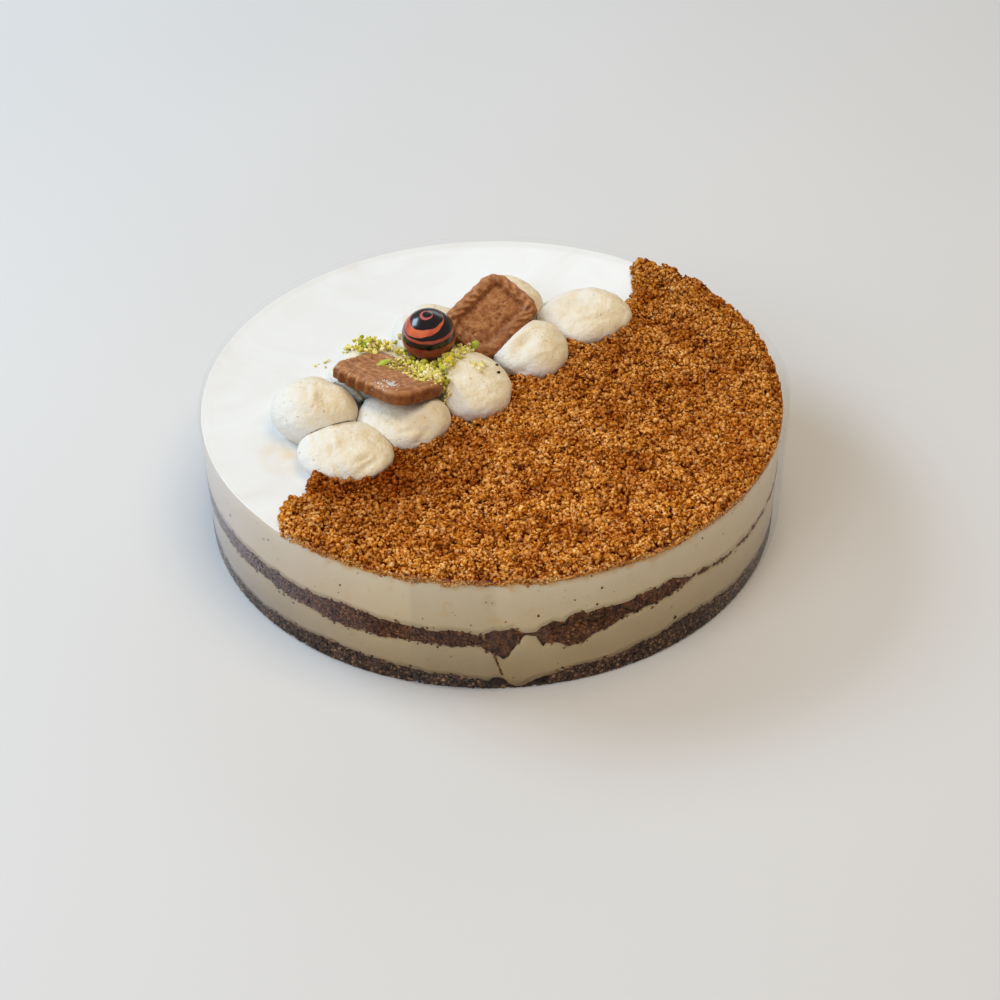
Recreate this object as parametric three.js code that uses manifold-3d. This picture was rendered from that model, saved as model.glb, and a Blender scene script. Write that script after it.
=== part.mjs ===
// Caramelised biscuit mousse cake: a round cake of two biscuit-crumb layers and two mousse layers in a
// clear collar, with crumbs over one half of the top, a double row of piped cream, two biscuits, a
// swirled chocolate ball and chopped pistachio.
// Lengths are millimetres, +Z is up, and the origin is the middle of the underside.

import * as THREE from 'three';
import { mergeVertices } from 'three/addons/utils/BufferGeometryUtils.js';
import Module from 'manifold-3d';

// Cake body
const CAKE_RADIUS = 130;
const SECTORS = 60;
const MOUSSE_TOP = 57.2;
const RIM_RISE = 0.9;
const RIM_WIDTH = 5.5;
const RIM_BEGINS = 4;
const RIM_FULL = 26;
const INNER_RING = 95;

// Gap kept between pieces that are cut by, or rest on, their neighbours
const GAP = 0.3;

// Clear collar
const COLLAR_THICKNESS = 0.35;
const COLLAR_INSIDE = CAKE_RADIUS + GAP;
const COLLAR_BOTTOM = 0.4;
const COLLAR_TOP = 60;
const COLLAR_START = -105;
const COLLAR_OVERLAP = 15;
const COLLAR_STEPS = 80;
const COLLAR_BULGE = 4.4;
const COLLAR_BULGE_AT = 8;
const COLLAR_BULGE_SPREAD = 22;

// Crumbs on top: the border that divides the cake runs along EDGE_DIRECTION degrees
const EDGE_DIRECTION = 50.4;
const CRUMB_DEPTH = 3.6;
const CRUMB_FOOT = 1.5;
const CRUMB_LEAST = 0.7;
const CRUMB_RELIEF = 0.9;
const CRUMB_SLOPE = 6;
const CRUMB_DIP = 1.2;
const CRUMB_DIP_WIDTH = 10;
const CRUMB_SHIFT = 0.3;
const CRUMB_STAGGER = 0.25;
const FRAY_DEPTH = 0.9;
const CRUMB_OUTER_RADIUS = 129.5;
const CRUMB_SPACING = 5.6;
const CRUMB_REACH = 134;
const CRUMB_BACK = -27;
const CRUMB_EDGE_STEPS = 60;
const CRUMB_ARC_STEPS = 60;
const BLOCK_BELOW = 10;
const BLOCK_DEPTH = 30;
const CLUMP_SPACING = 21;
const CLUMP_SIZES = [1.7, 2.7];
const CLUMP_STRETCH = [1, 0.85, 0.75];

// Piped cream
const CREAM_FOOT = MOUSSE_TOP + GAP;
const CREAM_SEGMENTS = 16;
const CREAM_LATITUDES = [-37, -16, 4, 24, 44, 64, 80];
const FOOT_LATITUDE = CREAM_LATITUDES[0];
const BELLY_SHARE = 0.42;
const STEEPEST = 0.98;

// Biscuits
const BISCUIT_WIDTH = 31;
const BISCUIT_THICKNESS = 6.5;
const BISCUIT_CORNER = 9.2;
const BISCUIT_SMALLEST_CORNER = 2.4;
const BISCUIT_BORDER = 6.5;
const BISCUIT_FIELD_DEPTH = 0.7;
const UNDER_BEVEL = 1.3;
const UPPER_BEVEL = 1.6;
const SCALLOP_DEPTH = 0.45;
const SCALLOP_PITCH = 6;

// Chocolate ball
const BALL_RADIUS = 12.2;
const BALL_AT = [-27.5, 14.6, 79];
const BALL_DETAIL = 3;

// Pistachio
const NUT_SIZES = [1.6, 2.6];
const NUT_STRETCH = [1.15, 0.85, 0.7];

// Uneven pieces: how far their corners are pushed, and how much of their size stands proud
const LUMP_PUSH = [0.8, 1.2];
const LUMP_PROUD = 0.25;

// Seeds of the scattered pieces
const CRUMB_SEED = 41;
const CLUMP_SEED = 77;
const NUT_SEED = 9;

const wasm = await Module();
wasm.setup();

// Small helpers

function seededRandom(seed) {
  let state = seed >>> 0;
  return () => {
    state = (state + 0x6d2b79f5) >>> 0;
    let mixed = Math.imul(state ^ (state >>> 15), 1 | state);
    mixed = (mixed + Math.imul(mixed ^ (mixed >>> 7), 61 | mixed)) ^ mixed;
    return ((mixed ^ (mixed >>> 14)) >>> 0) / 4294967296;
  };
}

function radians(degrees) {
  return (degrees * Math.PI) / 180;
}

function smoothStep(low, high, value) {
  const share = Math.min(Math.max((value - low) / (high - low), 0), 1);
  return share * share * (3 - 2 * share);
}

// The same direction between -180 and 180
function wrappedDegrees(degrees) {
  return ((((degrees + 180) % 360) + 360) % 360) - 180;
}

// A value that eases from one key to the next; each key is [position, value]
function easedValue(keys, position) {
  if (position <= keys[0][0]) return keys[0][1];
  for (let index = 1; index < keys.length; index += 1) {
    const [start, from] = keys[index - 1];
    const [end, to] = keys[index];
    if (position <= end) return from + (to - from) * smoothStep(start, end, position);
  }
  return keys[keys.length - 1][1];
}

// The same round the cake, where the last key is followed by the first
function roundValue(keys, degrees) {
  const turn = wrappedDegrees(degrees);
  const closed = [...keys, [keys[0][0] + 360, keys[0][1]]];
  return easedValue(closed, turn);
}

function indexedGeometry(points, triangles) {
  const geometry = new THREE.BufferGeometry();
  geometry.setAttribute('position', new THREE.Float32BufferAttribute(points.flat(), 3));
  geometry.setIndex(triangles.flat());
  return geometry;
}

function positionsOnly(geometry) {
  const copy = geometry.clone();
  copy.deleteAttribute('normal');
  copy.deleteAttribute('uv');
  return mergeVertices(copy, 1e-4);
}

function toSolid(geometry) {
  const merged = positionsOnly(geometry);
  return new wasm.Manifold(new wasm.Mesh({
    numProp: 3,
    vertProperties: new Float32Array(merged.attributes.position.array),
    triVerts: new Uint32Array(merged.index.array),
  }));
}

// The outer shell of the largest piece: loose scraps are dropped and sealed hollows are filled
function toGeometry(solid) {
  const mesh = solid.getMesh();
  const geometry = new THREE.BufferGeometry();
  const positions = [];
  for (let index = 0; index < mesh.vertProperties.length; index += mesh.numProp) {
    positions.push(...mesh.vertProperties.slice(index, index + 3));
  }
  geometry.setAttribute('position', new THREE.Float32BufferAttribute(positions, 3));
  geometry.setIndex(Array.from(mesh.triVerts));
  return largestShell(mergeVertices(geometry, 1e-3));
}

function largestShell(geometry) {
  const position = geometry.attributes.position;
  const index = Array.from(geometry.index.array);
  const parent = Array.from({ length: position.count }, (unused, vertex) => vertex);
  const rootOf = (vertex) => {
    let root = vertex;
    while (parent[root] !== root) root = parent[root];
    let walker = vertex;
    while (parent[walker] !== root) {
      const next = parent[walker];
      parent[walker] = root;
      walker = next;
    }
    return root;
  };
  const kept = [];
  for (let corner = 0; corner < index.length; corner += 3) {
    const triangle = index.slice(corner, corner + 3);
    if (new Set(triangle).size === 3) kept.push(triangle);
  }
  for (const [first, second, third] of kept) {
    parent[rootOf(second)] = rootOf(first);
    parent[rootOf(third)] = rootOf(first);
  }
  const volumes = new Map();
  const [a, b, c] = [new THREE.Vector3(), new THREE.Vector3(), new THREE.Vector3()];
  for (const [first, second, third] of kept) {
    a.fromBufferAttribute(position, first);
    b.fromBufferAttribute(position, second);
    c.fromBufferAttribute(position, third);
    const root = rootOf(first);
    volumes.set(root, (volumes.get(root) ?? 0) + a.dot(b.cross(c)) / 6);
  }
  const largest = [...volumes.entries()].reduce((best, entry) => (entry[1] > best[1] ? entry : best))[0];
  const shell = kept.filter(([first]) => rootOf(first) === largest);
  const renumbered = new Map();
  const points = [];
  const triangles = shell.map((triangle) => triangle.map((vertex) => {
    if (!renumbered.has(vertex)) {
      renumbered.set(vertex, points.length);
      points.push([position.getX(vertex), position.getY(vertex), position.getZ(vertex)]);
    }
    return renumbered.get(vertex);
  }));
  return indexedGeometry(points, triangles);
}

function namedMesh(name, geometry, colour, roughness) {
  const material = new THREE.MeshStandardMaterial({ color: colour, roughness, metalness: 0 });
  const mesh = new THREE.Mesh(geometry, material);
  mesh.name = name;
  return mesh;
}

// Layers of the cake: each boundary is a height at the side, by direction in degrees, that settles to an
// even height inside

const BASE_TOP = {
  inside: 8.5,
  side: [[-180, 8], [-141, 6.5], [-130, 8.5], [-122, 10.5], [-112, 8.5], [-95, 7.5], [-91, 1.8],
    [-84, 1.8], [-80, 7], [-66, 8.5], [-60, 10.5], [-52, 13], [-45, 12], [-36, 9.5], [0, 8.5],
    [40, 9.5], [80, 8], [120, 9.2]],
};
const MIDDLE_BOTTOM = {
  inside: 24,
  side: [[-180, 23], [-140, 25], [-130, 25], [-121, 22.5], [-112, 22.5], [-104, 24], [-95, 26],
    [-90, 20.5], [-85, 28.5], [-79, 25.5], [-73, 24], [-64, 30], [-58, 30.5], [-50, 33.6], [-40, 30.6],
    [-10, 31], [20, 30], [60, 27], [110, 24], [150, 23]],
};
const MIDDLE_TOP = {
  inside: 32,
  side: [[-180, 31.5], [-140, 33], [-130, 33.3], [-120, 34.6], [-112, 32.6], [-104, 31.5], [-95, 32.4],
    [-90, 34], [-80, 36], [-72, 36.6], [-56, 38.2], [-50, 35.4], [-40, 32], [-10, 32.4], [20, 31.6],
    [60, 31], [110, 32.5], [150, 31]],
};

function boundaryHeight(boundary, radius, degrees) {
  const share = smoothStep(INNER_RING, CAKE_RADIUS, radius);
  return boundary.inside + (roundValue(boundary.side, degrees) - boundary.inside) * share;
}

// The bare half of the top turns up where it meets the collar; under the crumbs it is level
function topHeight(radius, degrees) {
  const across = CAKE_RADIUS * Math.sin(radians(degrees - EDGE_DIRECTION));
  const bare = smoothStep(RIM_BEGINS, RIM_FULL, across);
  return MOUSSE_TOP + RIM_RISE * bare * smoothStep(CAKE_RADIUS - RIM_WIDTH, CAKE_RADIUS, radius);
}

// A round surface of rings and sectors, as its points and its triangles facing up
function roundSurface(radii, heightAt) {
  const points = [[0, 0, heightAt(0, 0)]];
  const triangles = [];
  const pointOf = (ring, sector) => 1 + ring * SECTORS + (sector % SECTORS);
  radii.forEach((radius, ring) => {
    for (let sector = 0; sector < SECTORS; sector += 1) {
      const degrees = (sector * 360) / SECTORS;
      const turn = radians(degrees);
      points.push([radius * Math.cos(turn), radius * Math.sin(turn), heightAt(radius, degrees)]);
      if (ring === 0) {
        triangles.push([0, pointOf(0, sector), pointOf(0, sector + 1)]);
      } else {
        const [inner, innerNext] = [pointOf(ring - 1, sector), pointOf(ring - 1, sector + 1)];
        const [outer, outerNext] = [pointOf(ring, sector), pointOf(ring, sector + 1)];
        triangles.push([inner, outer, outerNext], [inner, outerNext, innerNext]);
      }
    }
  });
  return { points, triangles, rim: 1 + (radii.length - 1) * SECTORS };
}

function boundarySurface(boundary) {
  const heightAt = (radius, degrees) => boundaryHeight(boundary, radius, degrees);
  return roundSurface([INNER_RING, CAKE_RADIUS], heightAt);
}

function layerGeometry(lower, upper) {
  const offset = lower.points.length;
  const points = [...lower.points, ...upper.points];
  const triangles = [
    ...lower.triangles.map(([first, second, third]) => [first, third, second]),
    ...upper.triangles.map((triangle) => triangle.map((vertex) => vertex + offset)),
  ];
  for (let sector = 0; sector < SECTORS; sector += 1) {
    const next = (sector + 1) % SECTORS;
    const [low, lowNext] = [lower.rim + sector, lower.rim + next];
    const [high, highNext] = [offset + upper.rim + sector, offset + upper.rim + next];
    triangles.push([low, lowNext, highNext], [low, highNext, high]);
  }
  return indexedGeometry(points, triangles);
}

const topRings = [INNER_RING, CAKE_RADIUS - RIM_WIDTH, CAKE_RADIUS];
const underside = roundSurface([CAKE_RADIUS], () => 0);
const baseTop = boundarySurface(BASE_TOP);
const middleBottom = boundarySurface(MIDDLE_BOTTOM);
const middleTop = boundarySurface(MIDDLE_TOP);
const mousseTop = roundSurface(topRings, topHeight);

// Clear collar: one strip round the cake whose first end lies over its last end at the front, and which
// stands a little off the cake at one side

function collarPoint(degrees, offset) {
  const past = degrees - COLLAR_START - COLLAR_OVERLAP;
  const lap = (1 - smoothStep(0, COLLAR_OVERLAP / 2, past)) * (COLLAR_THICKNESS + GAP);
  const turned = wrappedDegrees(degrees - COLLAR_BULGE_AT) / COLLAR_BULGE_SPREAD;
  const bulge = COLLAR_BULGE * Math.exp(-turned * turned);
  const radius = (COLLAR_INSIDE + lap + bulge) / Math.cos(Math.PI / COLLAR_STEPS) + offset;
  return [radius * Math.cos(radians(degrees)), radius * Math.sin(radians(degrees))];
}

function collarGeometry() {
  const inside = [];
  const outside = [];
  const span = 360 + COLLAR_OVERLAP;
  for (let step = 0; step <= COLLAR_STEPS; step += 1) {
    const degrees = COLLAR_START + (span * step) / COLLAR_STEPS;
    inside.push(collarPoint(degrees, 0));
    outside.push(collarPoint(degrees, COLLAR_THICKNESS));
  }
  const outline = [...outside, ...inside.reverse()].map(([x, y]) => new THREE.Vector2(x, y));
  const strip = new THREE.ExtrudeGeometry(new THREE.Shape(outline), {
    depth: COLLAR_TOP - COLLAR_BOTTOM,
    bevelEnabled: false,
    steps: 1,
  });
  strip.translate(0, 0, COLLAR_BOTTOM);
  return positionsOnly(strip);
}

// Piped cream: each is a squashed, slightly uneven dome with an undercut foot.
// at: middle of the foot; reach: half widths along and across its own turn; lean: how far its crown is
// off the middle; folds: [waves round, depth, phase] of its soft swellings

const CREAMS = [
  { name: 'cream_front_1', at: [-62.2, -50.2], reach: [20.4, 19.6], height: 13.4, turn: -8, lean: [0, 1],
    folds: [[2, 0.025, 0.5], [3, 0.02, 2.1]] },
  { name: 'cream_front_2', at: [-38.6, -29.4], reach: [20.2, 18.6], height: 15.6, turn: 12, lean: [2, 0],
    folds: [[2, 0.03, 1.2], [3, 0.035, 0.2]] },
  { name: 'cream_front_3', at: [-8.6, -6.6], reach: [17.6, 21.4], height: 18.6, turn: 8, lean: [-1, 2],
    folds: [[2, 0.03, 2.2], [3, 0.025, 1.0]] },
  { name: 'cream_front_4', at: [18.4, 22.4], reach: [17.6, 19.6], height: 17.6, turn: -6, lean: [-1, 1],
    folds: [[2, 0.02, 0.9], [3, 0.03, 2.8]] },
  { name: 'cream_front_5', at: [44.1, 51.4], reach: [21.6, 20.4], height: 14.2, turn: 22, lean: [2, 1],
    folds: [[2, 0.03, 0.1], [4, 0.02, 1.7]] },
  { name: 'cream_back_1', at: [-77.3, -23.4], reach: [19, 18.6], height: 20.4, turn: 0, lean: [0.5, 0],
    folds: [[2, 0.015, 1.4], [3, 0.012, 0.4]] },
  { name: 'cream_back_2', at: [-52, 6.6], reach: [19.6, 21], height: 16.6, turn: 8, lean: [0, 1],
    folds: [[2, 0.03, 0.3], [3, 0.03, 1.9]] },
  { name: 'cream_back_3', at: [-27.8, 37], reach: [17.4, 21.4], height: 15.6, turn: -6, lean: [0, 1],
    folds: [[2, 0.03, 1.0], [3, 0.02, 0.6]] },
  { name: 'cream_back_4', at: [6.4, 60.4], reach: [18.6, 18.4], height: 18.4, turn: 10, lean: [0, 0],
    folds: [[2, 0.02, 2.6], [3, 0.025, 1.3]] },
];

// A point on a cream at a latitude (-37 at the foot, 90 at the crown) and a direction, both in degrees
function creamPoint(cream, latitude, direction, grow) {
  const [low, turn] = [radians(latitude), radians(direction)];
  const belly = BELLY_SHARE * cream.height;
  const rise = latitude < 0
    ? (belly / Math.sin(radians(-FOOT_LATITUDE))) * Math.sin(low)
    : (cream.height - belly + grow) * Math.sin(low);
  const crown = Math.max(Math.sin(low), 0) ** 2;
  const waveOf = ([waves, depth, phase]) => depth * Math.cos(waves * turn + phase);
  const swell = cream.folds.reduce((sum, fold) => sum + waveOf(fold), 1);
  const [halfLength, halfWidth] = cream.reach.map((reach) => (reach * swell + grow) * Math.cos(low));
  const along = halfLength * Math.cos(turn) + cream.lean[0] * crown;
  const across = halfWidth * Math.sin(turn) + cream.lean[1] * crown;
  const own = radians(cream.turn);
  return [
    cream.at[0] + along * Math.cos(own) - across * Math.sin(own),
    cream.at[1] + along * Math.sin(own) + across * Math.cos(own),
    CREAM_FOOT + belly + rise,
  ];
}

function creamGeometry(cream, grow) {
  const points = [];
  const triangles = [];
  const rings = CREAM_LATITUDES.length;
  const pointOf = (ring, segment) => ring * CREAM_SEGMENTS + (segment % CREAM_SEGMENTS);
  CREAM_LATITUDES.forEach((latitude, ring) => {
    for (let segment = 0; segment < CREAM_SEGMENTS; segment += 1) {
      const point = creamPoint(cream, latitude, (segment * 360) / CREAM_SEGMENTS, grow);
      if (ring === 0) point[2] -= grow;
      points.push(point);
      if (ring > 0) {
        const [low, lowNext] = [pointOf(ring - 1, segment), pointOf(ring - 1, segment + 1)];
        const [high, highNext] = [pointOf(ring, segment), pointOf(ring, segment + 1)];
        triangles.push([low, lowNext, highNext], [low, highNext, high]);
      }
    }
  });
  const crown = points.length;
  points.push(creamPoint(cream, 90, 0, grow));
  const foot = points.length;
  points.push([cream.at[0], cream.at[1], CREAM_FOOT - grow]);
  for (let segment = 0; segment < CREAM_SEGMENTS; segment += 1) {
    triangles.push([pointOf(rings - 1, segment), pointOf(rings - 1, segment + 1), crown]);
    triangles.push([pointOf(0, segment + 1), pointOf(0, segment), foot]);
  }
  return indexedGeometry(points, triangles);
}

// Biscuits: rounded slabs with a scalloped, raised border round a lower field

// A point on a rounded rectangle, by its share of the way round
function roundedOutline(width, length, corner, share) {
  const straight = [width - 2 * corner, length - 2 * corner];
  const quarter = (Math.PI * corner) / 2;
  const total = 2 * (straight[0] + straight[1]) + 4 * quarter;
  let rest = (share % 1) * total;
  for (let side = 0; side < 4; side += 1) {
    const run = straight[(side + 1) % 2];
    const turn = (side * Math.PI) / 2;
    const [cos, sin] = [Math.cos(turn), Math.sin(turn)];
    const reach = (side % 2 === 0 ? width : length) / 2;
    if (rest <= run) {
      const local = [reach, -run / 2 + rest];
      return [local[0] * cos - local[1] * sin, local[0] * sin + local[1] * cos];
    }
    rest -= run;
    if (rest <= quarter) {
      const bend = rest / corner;
      const local = [reach - corner + corner * Math.cos(bend), run / 2 + corner * Math.sin(bend)];
      return [local[0] * cos - local[1] * sin, local[0] * sin + local[1] * cos];
    }
    rest -= quarter;
  }
  return [width / 2, -straight[1] / 2];
}

function biscuitGeometry(length, grow) {
  const half = BISCUIT_THICKNESS / 2;
  const around = 2 * (BISCUIT_WIDTH + length) - (8 - 2 * Math.PI) * BISCUIT_CORNER;
  const scallops = Math.round(around / SCALLOP_PITCH);
  const steps = 2 * scallops;
  const fieldSlope = 2 * BISCUIT_FIELD_DEPTH;
  const rings = [
    { inset: UNDER_BEVEL, height: -half - grow },
    { inset: 0, height: -half + UNDER_BEVEL },
    { inset: 0, height: half - UPPER_BEVEL },
    { inset: UPPER_BEVEL, height: half + grow },
    { inset: BISCUIT_BORDER - fieldSlope, height: half + grow },
    { inset: BISCUIT_BORDER, height: half - BISCUIT_FIELD_DEPTH + grow },
  ];
  const points = [];
  const triangles = [];
  const pointOf = (ring, step) => ring * steps + (step % steps);
  rings.forEach(({ inset, height }, ring) => {
    for (let step = 0; step < steps; step += 1) {
      const share = step / steps;
      const fade = Math.max(1 - inset / (BISCUIT_BORDER - 1), 0);
      const scallop = SCALLOP_DEPTH * fade * Math.cos(2 * Math.PI * scallops * share);
      const shrink = inset - scallop - grow;
      const corner = Math.max(BISCUIT_CORNER - shrink, BISCUIT_SMALLEST_CORNER);
      const [x, y] = roundedOutline(BISCUIT_WIDTH - 2 * shrink, length - 2 * shrink, corner, share);
      points.push([x, y, height]);
      if (ring > 0) {
        const [low, lowNext] = [pointOf(ring - 1, step), pointOf(ring - 1, step + 1)];
        const [high, highNext] = [pointOf(ring, step), pointOf(ring, step + 1)];
        triangles.push([low, lowNext, highNext], [low, highNext, high]);
      }
    }
  });
  const [under, over] = [points.length, points.length + 1];
  points.push([0, 0, rings[0].height], [0, 0, rings[rings.length - 1].height]);
  for (let step = 0; step < steps; step += 1) {
    triangles.push([pointOf(0, step + 1), pointOf(0, step), under]);
    triangles.push([pointOf(rings.length - 1, step), pointOf(rings.length - 1, step + 1), over]);
  }
  return indexedGeometry(points, triangles);
}

// A biscuit's place: its middle, the way its long side runs, and which way its face looks
const BISCUITS = [
  { name: 'biscuit_left', length: 48, at: [-44.7, -13.3, 75.4], along: [-0.69, 0.71, -0.13],
    face: [0.07, 0.245, 0.966] },
  { name: 'biscuit_right', length: 42, at: [0.1, 36.6, 73.3], along: [0.64, 0.73, 0.24],
    face: [0.17, -0.445, 0.876] },
];

function placeOf(biscuit) {
  const face = new THREE.Vector3(...biscuit.face).normalize();
  const along = new THREE.Vector3(...biscuit.along);
  along.addScaledVector(face, -along.dot(face)).normalize();
  const side = new THREE.Vector3().crossVectors(along, face);
  const place = new THREE.Matrix4().makeBasis(side, along, face);
  return place.setPosition(...biscuit.at);
}

function ballGeometry(grow) {
  const ball = positionsOnly(new THREE.IcosahedronGeometry(BALL_RADIUS + grow, BALL_DETAIL));
  ball.translate(...BALL_AT);
  return ball;
}

// Uneven pieces: crumb clumps and chopped nuts

function lumpGeometry(centre, size, random, stretch) {
  const lump = positionsOnly(new THREE.IcosahedronGeometry(size, 0));
  const position = lump.attributes.position;
  for (let vertex = 0; vertex < position.count; vertex += 1) {
    const push = LUMP_PUSH[0] + (LUMP_PUSH[1] - LUMP_PUSH[0]) * random();
    position.setXYZ(
      vertex,
      position.getX(vertex) * push * stretch[0],
      position.getY(vertex) * push * stretch[1],
      position.getZ(vertex) * push * stretch[2],
    );
  }
  lump.rotateX(2 * Math.PI * random());
  lump.rotateZ(2 * Math.PI * random());
  lump.translate(...centre);
  return lump;
}

// Crumb topping: its border with the bare half, as [along, across] the dividing line
const CRUMB_EDGE = [[-129.2, -5.5], [-124, -13], [-112, -18], [-96, -20], [-88, -15], [-70, -9],
  [-40, -5], [0, 0], [40, 4], [72, 6], [92, 8], [99, 6], [108, 1.4], [117, -4.5], [129.2, -3]];
const CRUMB_HEAPS = [
  { at: [-77, -64], reach: 9, rise: 2 },
  { at: [124, 32], reach: 15, rise: 2 },
  { at: [115, 57], reach: 17, rise: 2.2 },
  { at: [100, 79], reach: 17, rise: 2.4 },
  { at: [82, 96], reach: 12, rise: 2.6 },
];
const edgeTurn = radians(EDGE_DIRECTION);
const edgeAlong = new THREE.Vector2(Math.cos(edgeTurn), Math.sin(edgeTurn));
const edgeAcross = new THREE.Vector2(edgeAlong.y, -edgeAlong.x);

// The spot at a distance along and across the dividing line
function spotFrom(along, across) {
  return new THREE.Vector2().addScaledVector(edgeAlong, along).addScaledVector(edgeAcross, across);
}

function crumbLevel(x, y, fromEdge) {
  const fromCollar = CRUMB_OUTER_RADIUS - Math.hypot(x, y);
  const heap = CRUMB_HEAPS.reduce((sum, { at, reach, rise }) => {
    const away = Math.hypot(x - at[0], y - at[1]) / reach;
    return sum + rise * Math.exp(-away * away);
  }, 0);
  const settled = CRUMB_DEPTH - CRUMB_DIP * (1 - smoothStep(0, CRUMB_DIP_WIDTH, fromCollar));
  return CRUMB_FOOT + (settled - CRUMB_FOOT) * smoothStep(0, CRUMB_SLOPE, fromEdge) + heap;
}

// A bumpy slab over the whole half, before its outline is cut
function crumbSlab() {
  const random = seededRandom(CRUMB_SEED);
  const acrossStep = (CRUMB_SPACING * Math.sqrt(3)) / 2;
  const columns = Math.ceil((2 * CRUMB_REACH) / CRUMB_SPACING);
  const rows = Math.ceil((CRUMB_REACH - CRUMB_BACK) / acrossStep);
  const bottom = MOUSSE_TOP + GAP;
  const points = [];
  const triangles = [];
  const pointOf = (row, column) => row * (columns + 1) + column;
  for (let row = 0; row <= rows; row += 1) {
    for (let column = 0; column <= columns; column += 1) {
      const stagger = row % 2 === 0 ? -CRUMB_STAGGER : CRUMB_STAGGER;
      const alongShift = stagger + CRUMB_SHIFT * (random() - 0.5);
      const acrossShift = CRUMB_SHIFT * (random() - 0.5);
      const along = -CRUMB_REACH + (column + alongShift) * CRUMB_SPACING;
      const across = CRUMB_BACK + (row + acrossShift) * acrossStep;
      const spot = spotFrom(along, across);
      const level = crumbLevel(spot.x, spot.y, across - easedValue(CRUMB_EDGE, along));
      const relief = CRUMB_RELIEF * (2 * random() - 1);
      points.push([spot.x, spot.y, bottom + Math.max(level + relief, CRUMB_LEAST)]);
    }
  }
  for (let row = 0; row < rows; row += 1) {
    for (let column = 0; column < columns; column += 1) {
      const [near, nearNext] = [pointOf(row, column), pointOf(row, column + 1)];
      const [far, farNext] = [pointOf(row + 1, column), pointOf(row + 1, column + 1)];
      if (row % 2 === 1) {
        triangles.push([near, farNext, nearNext], [near, far, farNext]);
      } else {
        triangles.push([near, far, nearNext], [far, farNext, nearNext]);
      }
    }
  }
  const loop = [];
  for (let row = 0; row < rows; row += 1) loop.push(pointOf(row, 0));
  for (let column = 0; column < columns; column += 1) loop.push(pointOf(rows, column));
  for (let row = rows; row > 0; row -= 1) loop.push(pointOf(row, columns));
  for (let column = columns; column > 0; column -= 1) loop.push(pointOf(0, column));
  const floor = points.length;
  loop.forEach((top) => points.push([points[top][0], points[top][1], bottom]));
  loop.forEach((top, order) => {
    const next = (order + 1) % loop.length;
    triangles.push([top, floor + next, loop[next]], [top, floor + order, floor + next]);
  });
  const flat = loop.map((top) => new THREE.Vector2(points[top][0], points[top][1]));
  for (const [one, two, three] of THREE.ShapeUtils.triangulateShape(flat, [])) {
    triangles.push([floor + one, floor + three, floor + two]);
  }
  return indexedGeometry(points, triangles);
}

// The outline of the crumbed half as an upright block
function crumbBlock() {
  const outline = [];
  const [first, last] = [CRUMB_EDGE[0][0], CRUMB_EDGE[CRUMB_EDGE.length - 1][0]];
  for (let step = 0; step <= CRUMB_EDGE_STEPS; step += 1) {
    const along = first + ((last - first) * step) / CRUMB_EDGE_STEPS;
    const fray = FRAY_DEPTH * Math.sin(along * 1.7) * Math.cos(along * 0.61);
    const spot = spotFrom(along, easedValue(CRUMB_EDGE, along) + fray);
    outline.push(spot.clampLength(0, CRUMB_OUTER_RADIUS));
  }
  const startTurn = outline[0].angle() - 2 * Math.PI;
  const endTurn = outline[outline.length - 1].angle();
  for (let step = 1; step < CRUMB_ARC_STEPS; step += 1) {
    const turn = endTurn + ((startTurn - endTurn) * step) / CRUMB_ARC_STEPS;
    const rim = new THREE.Vector2(Math.cos(turn), Math.sin(turn));
    outline.push(rim.multiplyScalar(CRUMB_OUTER_RADIUS));
  }
  const block = new THREE.ExtrudeGeometry(new THREE.Shape(outline), {
    depth: BLOCK_DEPTH,
    bevelEnabled: false,
    steps: 1,
  });
  block.translate(0, 0, MOUSSE_TOP - BLOCK_BELOW);
  return block;
}

// Clumps lie over the crumbs on a loose, seeded pattern
function crumbClumps() {
  const random = seededRandom(CLUMP_SEED);
  const clumps = [];
  for (let column = -CRUMB_REACH; column < CRUMB_REACH; column += CLUMP_SPACING) {
    for (let row = CRUMB_BACK; row < CRUMB_REACH; row += CLUMP_SPACING) {
      const [along, across] = [column + CLUMP_SPACING * random(), row + CLUMP_SPACING * random()];
      const size = CLUMP_SIZES[0] + (CLUMP_SIZES[1] - CLUMP_SIZES[0]) * random() ** 2;
      const spot = spotFrom(along, across);
      const fromEdge = across - easedValue(CRUMB_EDGE, along);
      if (fromEdge > CLUMP_SIZES[0] && spot.length() < CRUMB_OUTER_RADIUS - 1.3 * size) {
        const level = MOUSSE_TOP + GAP + crumbLevel(spot.x, spot.y, fromEdge);
        const centre = [spot.x, spot.y, level + LUMP_PROUD * size];
        clumps.push(lumpGeometry(centre, size, random, CLUMP_STRETCH));
      }
    }
  }
  return clumps;
}

// Chopped pistachio: patches of bits, as [x, y, spread, count] over the named piece

const NUT_PATCHES = [
  { on: 'cream_back_2', patches: [[-53, 17, 6, 6], [-62, 15, 3, 2], [-43, 13, 4, 2]] },
  { on: 'cream_back_3', patches: [[-40, 32, 4, 2]] },
  { on: 'cream_front_3', patches: [[-16, 7, 5.5, 6], [-5, -3, 4, 2]] },
  { on: 'biscuit_left', patches: [[-44, -5, 0.5, 1], [-31, -8, 5, 5], [-24, -15, 3, 2]] },
];

// Height of a cream's upper surface over a spot
function creamHeight(cream, x, y) {
  const own = radians(cream.turn);
  const [away, over] = [x - cream.at[0], y - cream.at[1]];
  const along = (away * Math.cos(own) + over * Math.sin(own)) / cream.reach[0];
  const across = (over * Math.cos(own) - away * Math.sin(own)) / cream.reach[1];
  const fromMiddle = Math.min(Math.hypot(along, across), STEEPEST);
  const belly = BELLY_SHARE * cream.height;
  return CREAM_FOOT + belly + (cream.height - belly) * Math.sqrt(1 - fromMiddle ** 2);
}

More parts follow.
